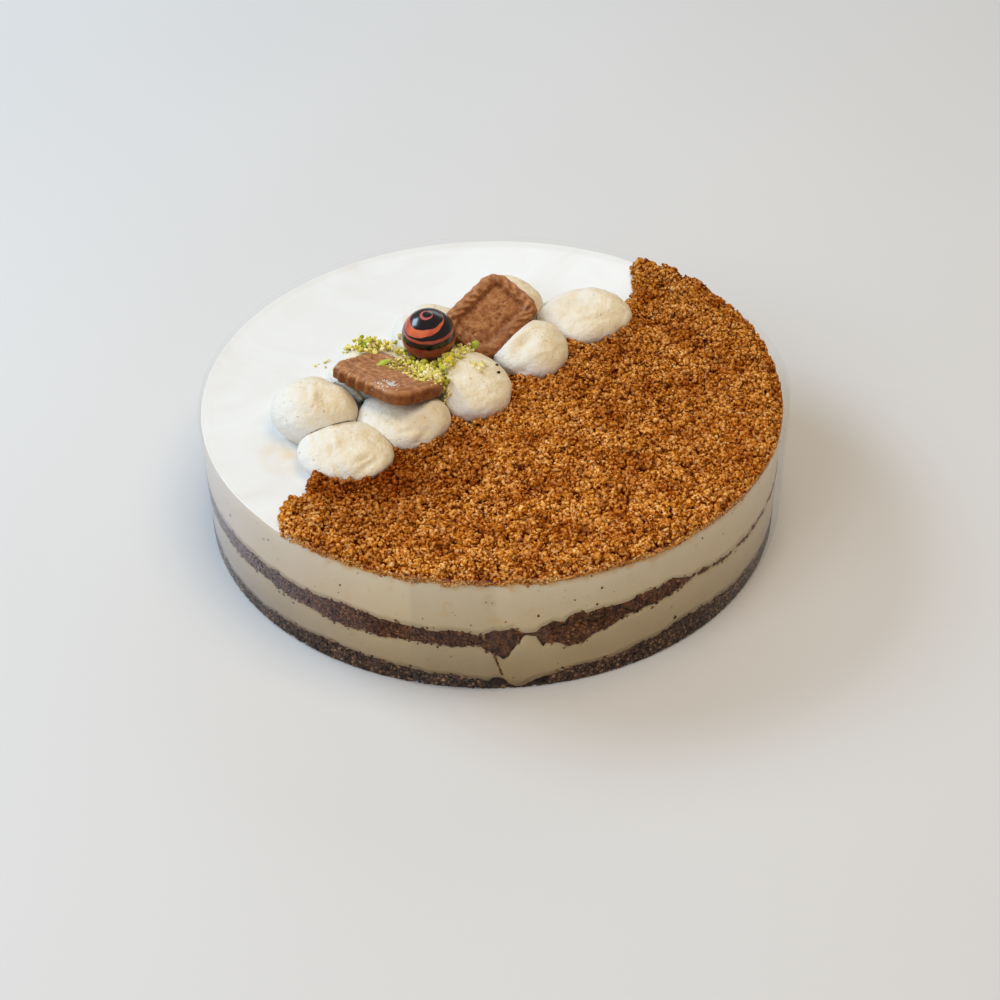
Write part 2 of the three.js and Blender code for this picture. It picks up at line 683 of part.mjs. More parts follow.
// Height of a biscuit's face over a spot
function biscuitHeight(biscuit, x, y) {
  const face = new THREE.Vector3(...biscuit.face).normalize();
  const over = new THREE.Vector3(...biscuit.at).addScaledVector(face, BISCUIT_THICKNESS / 2);
  return over.z - ((x - over.x) * face.x + (y - over.y) * face.y) / face.z;
}

// Bits of a patch turn outwards by the golden angle
const GOLDEN_ANGLE = 2.4;

function nutsOn(name, heightAt, random) {
  const nuts = [];
  const { patches } = NUT_PATCHES.find(({ on }) => on === name) ?? { patches: [] };
  for (const [x, y, spread, count] of patches) {
    for (let order = 0; order < count; order += 1) {
      const turn = GOLDEN_ANGLE * order + random();
      const away = spread * Math.sqrt((order + 0.5) / count);
      const size = NUT_SIZES[0] + (NUT_SIZES[1] - NUT_SIZES[0]) * random();
      const spot = [x + away * Math.cos(turn), y + away * Math.sin(turn)];
      const centre = [...spot, heightAt(...spot) + LUMP_PROUD * size];
      nuts.push(lumpGeometry(centre, size, random, NUT_STRETCH));
    }
  }
  return nuts;
}

function assemble() {
  const grownBiscuit = (biscuit) => biscuitGeometry(biscuit.length, GAP).applyMatrix4(placeOf(biscuit));
  const biscuitCuts = BISCUITS.map((biscuit) => toSolid(grownBiscuit(biscuit)));
  const cutters = [toSolid(ballGeometry(GAP)), ...biscuitCuts];
  const random = seededRandom(NUT_SEED);

  const group = new THREE.Group();
  group.add(
    namedMesh('crumb_base', layerGeometry(underside, baseTop), 0x5f4a3d, 0.95),
    namedMesh('lower_mousse', layerGeometry(baseTop, middleBottom), 0xc9b184, 0.5),
    namedMesh('crumb_middle', layerGeometry(middleBottom, middleTop), 0x5a3f2c, 0.95),
    namedMesh('upper_mousse', layerGeometry(middleTop, mousseTop), 0xeae2d2, 0.35),
    namedMesh('clear_collar', collarGeometry(), 0xdfe6ea, 0.08),
  );

  const earlier = [];
  let crumbs = toSolid(crumbSlab()).intersect(toSolid(crumbBlock()));
  crumbClumps().forEach((clump) => {
    crumbs = crumbs.add(toSolid(clump));
  });
  for (const cream of CREAMS) {
    let solid = toSolid(creamGeometry(cream, 0));
    const surface = (x, y) => creamHeight(cream, x, y);
    nutsOn(cream.name, surface, random).forEach((nut) => {
      solid = solid.add(toSolid(nut));
    });
    [...earlier, ...cutters].forEach((cutter) => {
      solid = solid.subtract(cutter);
    });
    const grown = toSolid(creamGeometry(cream, GAP));
    earlier.push(grown);
    crumbs = crumbs.subtract(grown);
    group.add(namedMesh(cream.name, toGeometry(solid), 0xe9dcc0, 0.55));
  }
  group.add(namedMesh('crumb_topping', toGeometry(crumbs), 0xa8672f, 0.9));

  for (const biscuit of BISCUITS) {
    const place = placeOf(biscuit);
    const back = place.clone().invert();
    let solid = toSolid(biscuitGeometry(biscuit.length, 0));
    const surface = (x, y) => biscuitHeight(biscuit, x, y);
    nutsOn(biscuit.name, surface, random).forEach((nut) => {
      solid = solid.add(toSolid(nut.applyMatrix4(back)));
    });
    const mesh = namedMesh(biscuit.name, toGeometry(solid), 0x9a6238, 0.75);
    mesh.applyMatrix4(place);
    group.add(mesh);
  }
  group.add(namedMesh('chocolate_ball', ballGeometry(0), 0x1c1110, 0.2));
  return group;
}

export default assemble();
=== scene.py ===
import math

import bpy
import numpy as np
from mathutils import Matrix, Vector


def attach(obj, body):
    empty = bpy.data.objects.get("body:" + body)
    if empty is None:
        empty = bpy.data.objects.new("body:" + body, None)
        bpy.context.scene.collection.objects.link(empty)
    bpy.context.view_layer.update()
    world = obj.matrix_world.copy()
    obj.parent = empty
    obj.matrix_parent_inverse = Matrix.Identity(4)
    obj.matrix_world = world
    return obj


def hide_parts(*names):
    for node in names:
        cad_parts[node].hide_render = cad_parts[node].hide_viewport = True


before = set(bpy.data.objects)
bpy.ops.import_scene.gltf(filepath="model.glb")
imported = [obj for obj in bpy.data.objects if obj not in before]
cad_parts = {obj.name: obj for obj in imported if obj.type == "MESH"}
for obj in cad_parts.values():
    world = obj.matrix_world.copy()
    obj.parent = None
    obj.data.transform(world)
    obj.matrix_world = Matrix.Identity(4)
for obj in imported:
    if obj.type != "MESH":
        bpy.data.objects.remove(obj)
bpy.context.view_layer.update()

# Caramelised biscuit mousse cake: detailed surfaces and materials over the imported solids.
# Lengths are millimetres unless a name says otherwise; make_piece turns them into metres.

MM = 0.001

# Cake body, as in the solids
CAKE_RADIUS = 130.0
MOUSSE_TOP = 57.2
RIM_RISE = 0.9
RIM_WIDTH = 5.5
TOP_RADII = (129.2, 128.6, 127.8, 126.8, 125.6, 124, 121, 117, 111, 103, 93, 81, 67, 52, 36, 18)
# The ripples of the bare top, which starts this far across from the middle
BARE_ACROSS = (4, 26)
RIPPLE_SIZE = 21
RIPPLE_DEPTH = 0.16
# Rings of the layers' hidden sides, and the radius from which borders wander too
INNER_RADII = (95.0, 122.0)
WANDER_RADIUS = 118
# Unevenness, here and below as layers of (size, depth)
WANDER_LAYERS = [(9, 0.6), (3.4, 0.6), (1.8, 0.5)]
SECTORS = 720
SIDE_RADIUS = 129.92
GOLDEN_ANGLE = 2.4
GOLDEN_RATIO = (1 + 5 ** 0.5) / 2

# Borders between the layers: the height inside, and the heights at the side by direction
BASE_TOP = {
    "inside": 8.5,
    "side": [(-180, 8), (-141, 6.5), (-130, 8.5), (-122, 10.5), (-112, 8.5), (-97, 6.4), (-95, 6.4),
             (-91.3, 4.6), (-90.4, 6.2), (-88.6, 5.6), (-87, 2.6), (-86, 1), (-85, 1.2), (-84, 3.4),
             (-82.3, 5.2), (-80.3, 5.8), (-77.8, 7), (-75.3, 8.3), (-66, 8.5), (-60, 10.5), (-52, 13),
             (-45, 12), (-36, 9.5), (0, 8.5), (40, 9.5), (80, 8), (120, 9.2)],
}
MIDDLE_BOTTOM = {
    "inside": 24,
    "side": [(-180, 23), (-140, 25), (-130, 25), (-121, 22.5), (-112, 22.5), (-104, 24), (-97, 22.8),
             (-94.7, 24.2), (-92.8, 24.4), (-91.4, 21.8), (-90, 18.8), (-88.4, 16.5), (-87.4, 17.2),
             (-86.7, 21.5), (-85.7, 25), (-84.7, 29), (-82.8, 29.2), (-81.3, 22.6), (-80.4, 24),
             (-78.4, 23.2), (-76.4, 20), (-74.4, 21.7), (-70, 25), (-64, 30), (-58, 30.5), (-50, 33.6),
             (-40, 30.6), (-10, 31), (20, 30), (60, 27), (110, 24), (150, 23)],
}
MIDDLE_TOP = {
    "inside": 32,
    "side": [(-180, 31.5), (-140, 33), (-130, 33.3), (-120, 34.6), (-112, 32.6), (-104, 31.5), (-97, 31.6),
             (-94.7, 31.6), (-92.3, 29.8), (-89.9, 33.3), (-86.8, 33.7), (-84.5, 31.2), (-82.8, 31.4),
             (-81.4, 34.1), (-79.4, 35.9), (-77.5, 34.4), (-76.5, 37.6), (-72, 37), (-56, 38.2),
             (-50, 35.4), (-40, 32), (-10, 32.4), (20, 31.6), (60, 31), (110, 32.5), (150, 31)],
}

# The broken place in the base at the front: the directions over which it starts and ends, its depth, and
# the mousse that runs down in it
HOLLOW_START = (-91.2, -90.4)
HOLLOW_END = (-79.9, -80.8)
HOLLOW_DEPTH = 5.5
DRIP_AT = -85.6
DRIP_WIDTH = 0.9

# Specks in the mousse as (direction, height, size), and the crack as its ends' directions and heights
SIDE_SPECKS = [(-82.2, 39.5, 0.8), (-88, 37.5, 0.55), (-81.3, 23.1, 1.0), (-94.2, 35.7, 0.5),
               (-70.5, 48.4, 0.9), (-72.6, 56.1, 0.5), (-75.6, 45.2, 0.5), (-48.7, 52.7, 0.7),
               (-118.7, 44.6, 0.6), (-135.8, 49.3, 0.6), (-149.6, 42.5, 0.8)]
CRACK_ENDS = [(-90.2, 20.3), (-88.8, 8.1)]
CRACK_GRAINS = 26
SPECK_COUNT = 320
# Steps between the side's grains, in degrees and upwards
SIDE_STEPS = (0.62, 1.35)

# A faint painted reflection, warm in tone, of a mound in the glossy bare top, beside the front mounds
WARM_REFLECTION_AT = (-86, -44, 57)
WARM_REFLECTION_REACH = 17

# Clear collar
COLLAR_THICKNESS = 0.35
COLLAR_INSIDE = 130.3
COLLAR_BOTTOM = 0.4
COLLAR_TOP = 60.0
COLLAR_START = -105
COLLAR_OVERLAP = 15
COLLAR_STEPS = 480
COLLAR_ROWS = 7
COLLAR_EDGE = 0.04
COLLAR_BULGE = 4.4
COLLAR_BULGE_AT = 8
COLLAR_BULGE_SPREAD = 22
COLLAR_GAP = 0.3

# Crumbs on top: the border that divides the cake runs along EDGE_DIRECTION degrees
EDGE_DIRECTION = 50.4
CRUMB_FLOOR = 57.5
CRUMB_DEPTH = 3.6
CRUMB_FOOT = 2.7
CRUMB_SLOPE = 6
CRUMB_DIP = 2.3
CRUMB_DIP_WIDTH = 6
CRUMB_OUTER_RADIUS = 129.5
CRUMB_REACH = 129.2
CRUMB_BANK = 1.0
CRUMB_BANK_REACH = 2.6
GRAIN_LIMIT = 130.1
BED_COLUMNS = 416
BED_ROWS = 230
CRUMB_EDGE = [(-129.2, -5.5), (-126.8, -8.6), (-120, -13.2), (-114, -15), (-110.6, -12.8), (-106.6, -13.2),
              (-102, -16.4), (-98, -17.4), (-94, -15.4), (-88, -14), (-70, -9), (-40, -5), (0, 0), (40, 4),
              (72, 6), (92, 8), (99, 6), (108, 1.4), (117, -5), (125, -10.5), (129.2, -12)]
# Painted shadow on the crumbs beside the front mounds: its middle and its reach
CRUMB_SHADOW_AT = (-50, -62, 58)
CRUMB_SHADOW_REACH = 48
CRUMB_HEAPS = [(-77, -64, 9, 2.0), (-71, -71, 4.5, 1.4), (124, 32, 15, 2.0), (115, 57, 17, 2.2),
               (100, 79, 17, 2.4), (82, 96, 12, 2.6)]
# Bumps of the crumbs' surface and of the bed alone, as (size, depth, level, seed)
CRUMB_CELLS = [(5.6, 3.6, 0.68, 311), (3.1, 2.0, 0.66, 317)]
BED_CELLS = [(3.0, 2.4, 0.65, 331), (1.8, 1.6, 0.65, 337)]
GRAIN_STRETCH = (0.6, 1.4)
CLUMP_GRAINS = 9

# Piped cream: at is the middle of the foot, reach the half widths, lean the crown's shift, folds the soft
# swellings as (waves, depth, phase), and marks the hollows as (x, y, reach, reach, turn, depth), measured
# from the middle of the foot, where a negative depth is a swelling
CREAM_FOOT = 57.5
FOOT_LATITUDE = -37
BELLY_SHARE = 0.42
CREAMS = {
    "front_1": {
        "at": (-62.2, -50.2), "reach": (20.4, 19.6), "height": 13.4, "turn": -8, "lean": (0, 1),
        "folds": [(2, 0.025, 0.5), (3, 0.02, 2.1)],
        "marks": [(1.9, -2.2, 5, 5, 0, 0.9), (-3.4, -3, 1.6, 5, 8, -0.48), (9.4, -14.5, 7, 1.2, 42, 0.72),
                  (12, -17, 5, 1.6, 42, -0.48), (8.5, -11.4, 4, 1, 40, 0.54),
                  (-1.9, -15.9, 4, 1, -37, 0.48), (-1.3, -20, 2, 3, 0, 0.72), (3.1, -9.9, 0.7, 0.6, 0, 0.3),
                  (7.5, -5.5, 4, 0.9, -20, 0.3)],
    },
    "front_2": {
        "at": (-38.6, -29.4), "reach": (20.2, 18.6), "height": 15.6, "turn": 12, "lean": (2, 0),
        "folds": [(2, 0.03, 1.2), (3, 0.035, 0.2)],
        "marks": [(-1.4, -7, 7.5, 6, 10, 2.1), (13.8, 1.6, 5.5, 7, 0, -1.5), (8.7, -15.6, 7, 1.3, 46, 1.05),
                  (3.8, -14, 6, 1.3, 10, 0.83), (7, -19.5, 6, 1.5, 25, -0.68), (-16, 12.5, 2, 2, 0, -1.2),
                  (14.8, -2, 1.2, 1, 20, 0.75), (10.3, -6.1, 1.8, 1, 20, 0.75), (15.2, -8, 2, 3, 0, -0.6)],
    },
    "front_3": {
        "at": (-8.6, -6.6), "reach": (17.6, 21.4), "height": 18.6, "turn": 8, "lean": (-1, 2),
        "folds": [(2, 0.03, 2.2), (3, 0.025, 1.0)],
        "marks": [(2.8, -13, 8, 6, 0, 0.98), (-10.2, -4.7, 1.8, 9, 0, -0.91), (-14, -8, 2, 7, 15, 0.84),
                  (-4, -13.9, 7, 1.4, -57, -0.56), (0.1, -20.3, 9, 1.6, 1, -0.56),
                  (4.5, -10, 1, 0.8, 0, 0.42), (9.5, -12.6, 1.3, 0.8, 20, 0.42), (-1.4, -2, 8, 4, 0, 0.63)],
    },
    "front_4": {
        "at": (18.4, 22.4), "reach": (17.6, 19.6), "height": 17.6, "turn": -6, "lean": (-1, 1),
        "folds": [(2, 0.02, 0.9), (3, 0.03, 2.8)],
        "marks": [(-3.5, -8, 7.5, 3, 40, 1.68), (-10.4, -14.8, 4, 4, 0, -0.91), (-4.5, -20, 2.5, 3, 0, 1.4),
                  (8, -3, 5, 6, 0, -0.56), (-8, 5, 4, 2, 40, 0.84), (-1, 1, 9, 1.6, 41, -0.63),
                  (3.4, -13.3, 8, 1.5, 25, -0.49)],
    },
    "front_5": {
        "at": (44.1, 51.4), "reach": (21.6, 20.4), "height": 14.2, "turn": 22, "lean": (2, 1),
        "folds": [(2, 0.03, 0.1), (4, 0.02, 1.7)],
        "marks": [(-2.5, 1, 8, 7, 0, 1.61), (-2.2, 7.5, 3, 4, 0, 0.7), (9, 2, 5, 8, -20, -0.56),
                  (2, -12, 8, 1.5, 15, 0.56)],
    },
    "back_1": {
        "at": (-77.3, -23.4), "reach": (19, 18.6), "height": 20.4, "turn": 0, "lean": (0.5, 0),
        "folds": [(2, 0.015, 1.4), (3, 0.012, 0.4)],
        "marks": [(6.5, -5, 5, 7, 10, 0.75), (0.5, -3.6, 1.7, 7, 6, -0.6), (1.3, -10.5, 0.9, 0.8, 0, 0.45),
                  (-1.7, -13.2, 1.6, 0.8, 10, 0.4), (-7.9, -11.8, 0.9, 0.8, 0, 0.3),
                  (12.8, 0.4, 5, 1.5, -23, -0.35), (9, 13, 7, 6, 55, 1.5)],
    },
    "back_2": {
        "at": (-52, 6.6), "reach": (19.6, 21), "height": 16.6, "turn": 8, "lean": (0, 1),
        "folds": [(2, 0.03, 0.3), (3, 0.03, 1.9)],
        "marks": [(-14.5, -12, 6, 11, 40, -3.2), (2, 4, 7, 6, 20, 1.3), (-13, 10, 2, 6, 50, 0.9),
                  (-14, -6, 1.6, 7, -20, -0.7)],
    },
    "back_3": {
        "at": (-27.8, 37), "reach": (17.4, 21.4), "height": 15.6, "turn": -6, "lean": (0, 1),
        "folds": [(2, 0.03, 1.0), (3, 0.02, 0.6)],
        "marks": [(2, 1, 7, 7, 0, 1.12), (-9, 12, 2, 6, -40, 0.7), (-12, 2, 1.6, 8, 10, -0.56)],
    },
    "back_4": {
        "at": (6.4, 60.4), "reach": (18.6, 18.4), "height": 18.4, "turn": 10, "lean": (0, 0),
        "folds": [(2, 0.02, 2.6), (3, 0.025, 1.3)],
        "marks": [(1, 2, 6, 5, 30, 0.98), (9, -9, 2, 5, 35, 0.63), (-9, 9, 7, 1.6, 50, -0.56)],
    },
}
# The cream that swells out under the left biscuit, as (x, y, z, radius)
CREAM_LIP = [(-71.2, 1.5, 70.2, 0.8), (-69.3, -2.9, 69.4, 2.3), (-66.5, -7.0, 68.5, 2.9),
             (-63.3, -10.3, 67.6, 3.0), (-59.7, -13.5, 66.6, 2.8), (-56.6, -15.9, 65.6, 0.9)]
LIP_ROWS = 60
LIP_SEGMENTS = 32
LIP_EASE = 4
CREAM_SEGMENTS = 120
CREAM_ROWS = 50
CREAM_LAYERS = [(10, 0.55), (4.4, 0.3), (2.1, 0.17)]
UNDERCUT = 0.03
CONTACT_GAP = 0.3

# Biscuits: at is the slab's middle, along its long side, face the way its upper side looks
BISCUIT_WIDTH = 31.0
BISCUIT_THICKNESS = 6.5
BISCUIT_CORNER = 9.2
BISCUIT_BORDER = 6.5
GROOVE_PITCH = 3.4
SCALLOP_PITCH = 6.0
SCALLOP_STEPS = 12
UNDER_BEVEL = 1.3
# Where the border steps down to the field, and the rings of the underside, as distances inwards
FIELD_STEP = (BISCUIT_BORDER - 1.2, BISCUIT_BORDER + 1.0)
UNDER_INSETS = (14.5, 11, 7.5, 4.5, 2.4)
CRUST_LAYERS = [(3.4, 0.16), (1.5, 0.1), (0.8, 0.06)]
BISCUITS = {
    "left": {"length": 48.0, "at": (-44.7, -13.3, 75.4), "along": (-0.69, 0.71, -0.13),
             "face": (0.07, 0.245, 0.966), "ridge": 0.1,
             "scallop": 0.75, "grooves": 0.2, "bevel": 2.8, "recess": 0.3, "seed": 61},
    "right": {"length": 42.0, "at": (0.1, 36.6, 73.3), "along": (0.64, 0.73, 0.24),
              "face": (0.17, -0.445, 0.876), "ridge": 0.3,
              "scallop": 0.2, "grooves": 0.0, "bevel": 1.8, "recess": 1.3, "seed": 67},
}

# Chocolate ball
BALL_RADIUS = 12.2
BALL_AT = (-27.5, 14.6, 79.0)
BALL_SEGMENTS = 96
BALL_ROWS = 48
# Height of its foot under its middle, in radii, and its tilt
BALL_FLAT = 0.965
BALL_TILT = (math.radians(7), math.radians(-2), 0)
# Each swirl: degrees from the pole, sway, half width, thinning, and where round the pole it is widest
BALL_SWIRLS = [(12.5, 1.5, 1.8, 1.2, -150), (42, 8.5, 4.7, 4.3, -150), (66.5, 1.5, 3.1, 0.7, -23),
               (93, 2, 9.5, 2, -120), (120, 3, 4.5, 1.5, 40)]

# Chopped pistachio: patches as (x, y, spread, count, layers, least height)
NUT_PATCHES = [(-56, 16.5, 5.5, 34, 3, 0), (-48, 14, 4.5, 20, 2, 0), (-63, 14.5, 3.5, 12, 2, 0),
               (-55, 12, 5, 20, 2, 0), (-44, 27, 4, 8, 1, 0), (-77, 24, 4, 4, 1, 0),
               (-31, -5, 5.5, 36, 2, 0), (-37, -1, 4.5, 18, 2, 0), (-24, -11, 5, 32, 3, 0),
               (-29, -11, 4, 22, 2, 0), (-21.5, -15, 3, 16, 2, 0), (-17, 4, 6.5, 50, 3, 0),
               (-12, 10, 4.5, 22, 2, 0), (-12, 14, 3.5, 16, 3, 70), (-5, -5, 4, 6, 1, 0),
               (-20, -4, 4.5, 28, 3, 0), (-28, -1, 4, 20, 3, 70), (-27, 2.5, 5, 26, 3, 70),
               (-20, 4, 4.5, 24, 3, 70), (-35, 4, 4, 16, 3, 70), (-38, 9, 4, 16, 2, 71),
               (-29, -14.5, 4, 26, 2, 0), (-24.5, -17.5, 3.5, 22, 2, 0), (-20.5, -20, 3, 14, 2, 0)]
NUT_PLENTY = 1.3
# Larger bits as (x, y, z, size)
GREEN_NUTS = [(-6.8, 12.4, 74.8, 2.3), (-56, 14, 74.6, 1.9), (-50, 15.5, 74.5, 1.8),
              (-59.5, 15.5, 73.6, 1.5)]
GOLD_NUTS = [(-18.2, -2.8, 77.3, 2.3)]
# On the left biscuit, in its own directions
NUT_DUST_ALONG = (-23, 10)
NUT_DUST_EDGE = 15.3
NUT_DUST_REACH = 12.0
NUT_DUST_COUNT = 400
SLIVER_AT = (4.2, 8.0)
SLIVER_REACH = (4.2, 1.8, 1.2)
SLIVER_TURN = 27
SLIVER_RISE = 0.12
SUGAR_AT = (-10.4, -11.6)
SUGAR_SPREAD = (3.0, 4.0)
SUGAR_COUNT = 150
# Flecks on the cream as (x, y, size)
DARK_FLECKS = [(2.7, -1.3, 0.9), (3.5, -6.7, 0.8)]

# Colours, 0 to 255 on the screen, along their ramps
CARAMEL_TONES = [(0.0, (108, 44, 0)), (0.3, (187, 110, 25)), (0.55, (226, 153, 60)), (0.8, (248, 192, 116)),
                 (1.0, (254, 218, 162))]
BED_TONES = [(0.05, (124, 54, 0)), (0.4, (196, 116, 29)), (0.7, (242, 172, 87)), (1.0, (255, 216, 155))]
RIM_TONES = [(0.0, (150, 84, 20)), (0.35, (206, 134, 50)), (0.7, (242, 186, 104)), (1.0, (255, 226, 170))]
BASE_GRAIN_TONES = [(0.1, (38, 26, 20)), (0.45, (88, 64, 48)), (0.75, (138, 104, 78)),
                    (1.0, (208, 160, 112))]
MIDDLE_GRAIN_TONES = [(0.1, (56, 28, 14)), (0.4, (104, 64, 38)), (0.7, (146, 94, 52)),
                      (1.0, (190, 136, 90))]
GLAZE_TONES = [(0.25, (229, 227, 226)), (0.45, (233, 234, 235)), (0.7, (236, 238, 241))]
BISCUIT_TONES = [(0.36, (140, 84, 44)), (0.5, (168, 110, 64)), (0.66, (200, 146, 98))]
NUT_TONES = [(0.0, (158, 156, 40)), (0.25, (198, 194, 62)), (0.5, (228, 214, 96)), (0.75, (246, 232, 150)),
             (0.93, (252, 246, 212)), (1.0, (196, 164, 104))]
GREEN_TONES = [(0.0, (112, 142, 18)), (0.5, (170, 188, 54)), (1.0, (230, 226, 140))]
GOLD_TONES = [(0.0, (204, 164, 14)), (0.6, (228, 190, 30)), (1.0, (240, 212, 80))]
SUGAR_TONES = [(0.3, (205, 196, 190)), (0.7, (246, 244, 240))]
FLECK_TONES = [(0.3, (24, 18, 20)), (0.7, (58, 44, 44))]
FLOOR_TONES = [(0.0, (214, 214, 216)), (1.0, (220, 220, 222))]
CRUMB_MOTTLE = (206, 170, 130)

# The way that the cream's side with painted warm light looks, and the corner of a biscuit with painted shade
CREAM_WARM_LIT_SIDE = (0.62, -0.1, 0.78)
BISCUIT_SHADE_AT = (16, 18, 64)

# Camera, fitted to the photograph, and the spot that the lights look at, in metres
CAMERA_AT = Vector((0.0, -0.66887, 0.53933))
CAMERA_RIGHT = Vector((0.99987874, -0.01261694, -0.00912739))
CAMERA_UP = Vector((0.01504326, 0.6311175, 0.77554136))
CAMERA_LENS = 65.91
CAMERA_SENSOR = 36.0
LIT_SPOT = (0, 0, 0.05)


# Numbers and noise

def smooth_step(low, high, value):
    """A share that eases from 0 at low to 1 at high."""
    share = np.clip((value - low) / (high - low), 0, 1)
    return share * share * (3 - 2 * share)


def eased_value(keys, position):
    """A value that eases from one key to the next; each key is (position, value)."""
    places, values = np.array(keys, float).T
    position = np.clip(position, places[0], places[-1])
    after = np.clip(np.searchsorted(places, position), 1, len(places) - 1)
    share = smooth_step(places[after - 1], places[after], position)
    return values[after - 1] + (values[after] - values[after - 1]) * share


def wrapped(degrees):
    """The same direction from -180 to 180 degrees."""
    return (degrees + 180) % 360 - 180


def round_value(keys, degrees):
    """An eased value round the cake, where the last key is followed by the first."""
    return eased_value([*keys, (keys[0][0] + 360, keys[0][1])], wrapped(degrees))


def hashed(cells, seed):
    """A number from 0 to 1 for each whole-number cell."""
    cells = cells.astype(np.int64)
    mixed = cells[..., 0] * 73856093 ^ cells[..., 1] * 19349663 ^ cells[..., 2] * 83492791 ^ seed * 2654435
    for shift, factor in ((15, 1274126177), (13, 668265263)):
        mixed = ((mixed ^ (mixed >> shift)) * factor) & 0xFFFFFFFF
    return ((mixed ^ (mixed >> 16)) & 0xFFFF) / 65535


def value_noise(points, size, seed):
    """Smooth noise from -1 to 1 with features of a size."""
    scaled = points / size
    base = np.floor(scaled)
    share = smooth_step(0, 1, scaled - base)
    total = np.zeros(points.shape[:-1])
    for corner in np.ndindex(2, 2, 2):
        weight = np.prod(np.where(corner, share, 1 - share), axis=-1)
        total += weight * hashed(base + np.array(corner), seed)
    return 2 * total - 1


def layered_noise(points, layers, seed):
    """A sum of noises; each layer is (size, depth)."""
    return sum(depth * value_noise(points, size, seed + order) for order, (size, depth) in enumerate(layers))


def cell_bumps(points, size, seed):
    """Rounded bumps from 0 to 1, packed side by side and about a size across."""
    scaled = points / size
    base = np.floor(scaled)
    nearest = np.full(points.shape[:-1], 4.0)
    for step in np.ndindex(3, 3, 3):
        cell = base + np.array(step) - 1
        shift = np.stack([hashed(cell, seed + axis) for axis in range(3)], axis=-1)
        nearest = np.minimum(nearest, ((scaled - cell - shift) ** 2).sum(axis=-1))
    return np.clip(1 - nearest, 0, 1)


def packed_bumps(points, layers):
    """A sum of packed bumps; each layer is (size, depth, level, seed), and at its level it adds nothing."""
    return sum(depth * (cell_bumps(points, size, seed) - level) for size, depth, level, seed in layers)


# Points

def spots_at(x, y, height=0.0):
    """Points from their coordinates; the height may be one number for all."""
    return np.stack(np.broadcast_arrays(x, y, height), axis=-1)


def round_spots(radius, degrees, height=0.0):
    """Points round the cake, from their distance from its middle and their direction."""
    turn = np.radians(degrees)
    return spots_at(radius * np.cos(turn), radius * np.sin(turn), height)


def turned(x, y, angle):
    """Flat spots turned anticlockwise by an angle in radians."""
    return x * math.cos(angle) - y * math.sin(angle), x * math.sin(angle) + y * math.cos(angle)


def border_turned(first, second):
    """Flat spots as distances along the crumbs' border and across it towards them, or the other way."""
    edge_x, edge_y = turned(1, 0, math.radians(EDGE_DIRECTION))
    return first * edge_x + second * edge_y, first * edge_y - second * edge_x


def unit(vectors):
    """Vectors of length 1 in the same directions."""
    return vectors / np.linalg.norm(vectors, axis=-1, keepdims=True)


def full_turn(count):
    """Even steps round a circle, in radians."""
    return np.arange(count) * 2 * np.pi / count


# Meshes

def grid_faces(rows, columns, closed=False):
    """Triangles over a grid of points listed row by row; closed joins each row's ends."""
    across = columns if closed else columns - 1
    row, column = np.meshgrid(np.arange(rows - 1), np.arange(across), indexing="ij")
    near = row * columns + column
    near_next = row * columns + (column + 1) % columns
    far, far_next = near + columns, near_next + columns
    halves = [np.stack(corners, axis=-1) for corners in ((near, near_next, far_next), (near, far_next, far))]
    return np.concatenate([half.reshape(-1, 3) for half in halves])


def fan_faces(loop, middle):
    """Triangles from a middle point to a closed loop of points."""
    return np.stack([loop, np.roll(loop, -1), np.full(len(loop), middle)], axis=-1)


def stacked(rings, bottom=None, top=None):
    """A closed surface over rings listed from the bottom up, each anticlockwise seen from above.

    An end that isn't given is closed at the middle of its ring."""
    bottom = rings[0].mean(axis=0) if bottom is None else bottom
    top = rings[-1].mean(axis=0) if top is None else top
    points = np.concatenate([*rings, [bottom], [top]])
    loop = np.arange(len(rings[0]))
    last = (len(rings) - 1) * len(loop)
    faces = [grid_faces(len(rings), len(loop), closed=True), fan_faces(loop[::-1], len(points) - 2),
             fan_faces(last + loop, len(points) - 1)]
    return points, np.concatenate(faces)


def facing_out(points, faces):
    """The faces of a closed surface, turned over if they look inwards."""
    corners = points[faces]
    volume = np.einsum("ij,ij->", corners[:, 0], np.cross(corners[:, 1], corners[:, 2]))
    return faces[:, ::-1] if volume < 0 else faces


def make_piece(name, points, faces, materials, smooth=True, slots=None):
    """A piece that rides on the cake, from points in millimetres and triangles."""
    mesh = bpy.data.meshes.new(name)
    mesh.vertices.add(len(points))
    mesh.vertices.foreach_set("co", (np.asarray(points) * MM).astype(np.float32).ravel())
    mesh.loops.add(faces.size)
    mesh.loops.foreach_set("vertex_index", faces.astype(np.int32).ravel())
    mesh.polygons.add(len(faces))
    mesh.polygons.foreach_set("loop_start", np.arange(0, faces.size, 3, dtype=np.int32))
    if slots is not None:
        mesh.polygons.foreach_set("material_index", slots.astype(np.int32))
    mesh.update(calc_edges=True)
    mesh.validate()
    shade = mesh.shade_smooth if smooth else mesh.shade_flat
    shade()
    piece = bpy.data.objects.new(name, mesh)
    bpy.context.scene.collection.objects.link(piece)
    for material in materials:
        mesh.materials.append(material)
    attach(piece, "root")
    return piece


# Material nodes: each function adds nodes to a tree and gives back their output

def colour(red, green, blue):
    """A screen colour, 0 to 255, as the linear colour that shaders take."""
    values = [channel / 255 for channel in (red, green, blue)]
    linear = [value / 12.92 if value <= 0.04045 else ((value + 0.055) / 1.055) ** 2.4 for value in values]
    return (*linear, 1.0)


def new_material(name, roughness, **sockets):
    """A material and its tree; the shader's other sockets are given by name."""
    material = bpy.data.materials.new(name)
    material.use_nodes = True
    shader = material.node_tree.nodes["Principled BSDF"]
    shader.inputs["Roughness"].default_value = roughness
    for socket, value in sockets.items():
        shader.inputs[socket.replace("_", " ").title().replace("Ior", "IOR")].default_value = value
    return material, material.node_tree


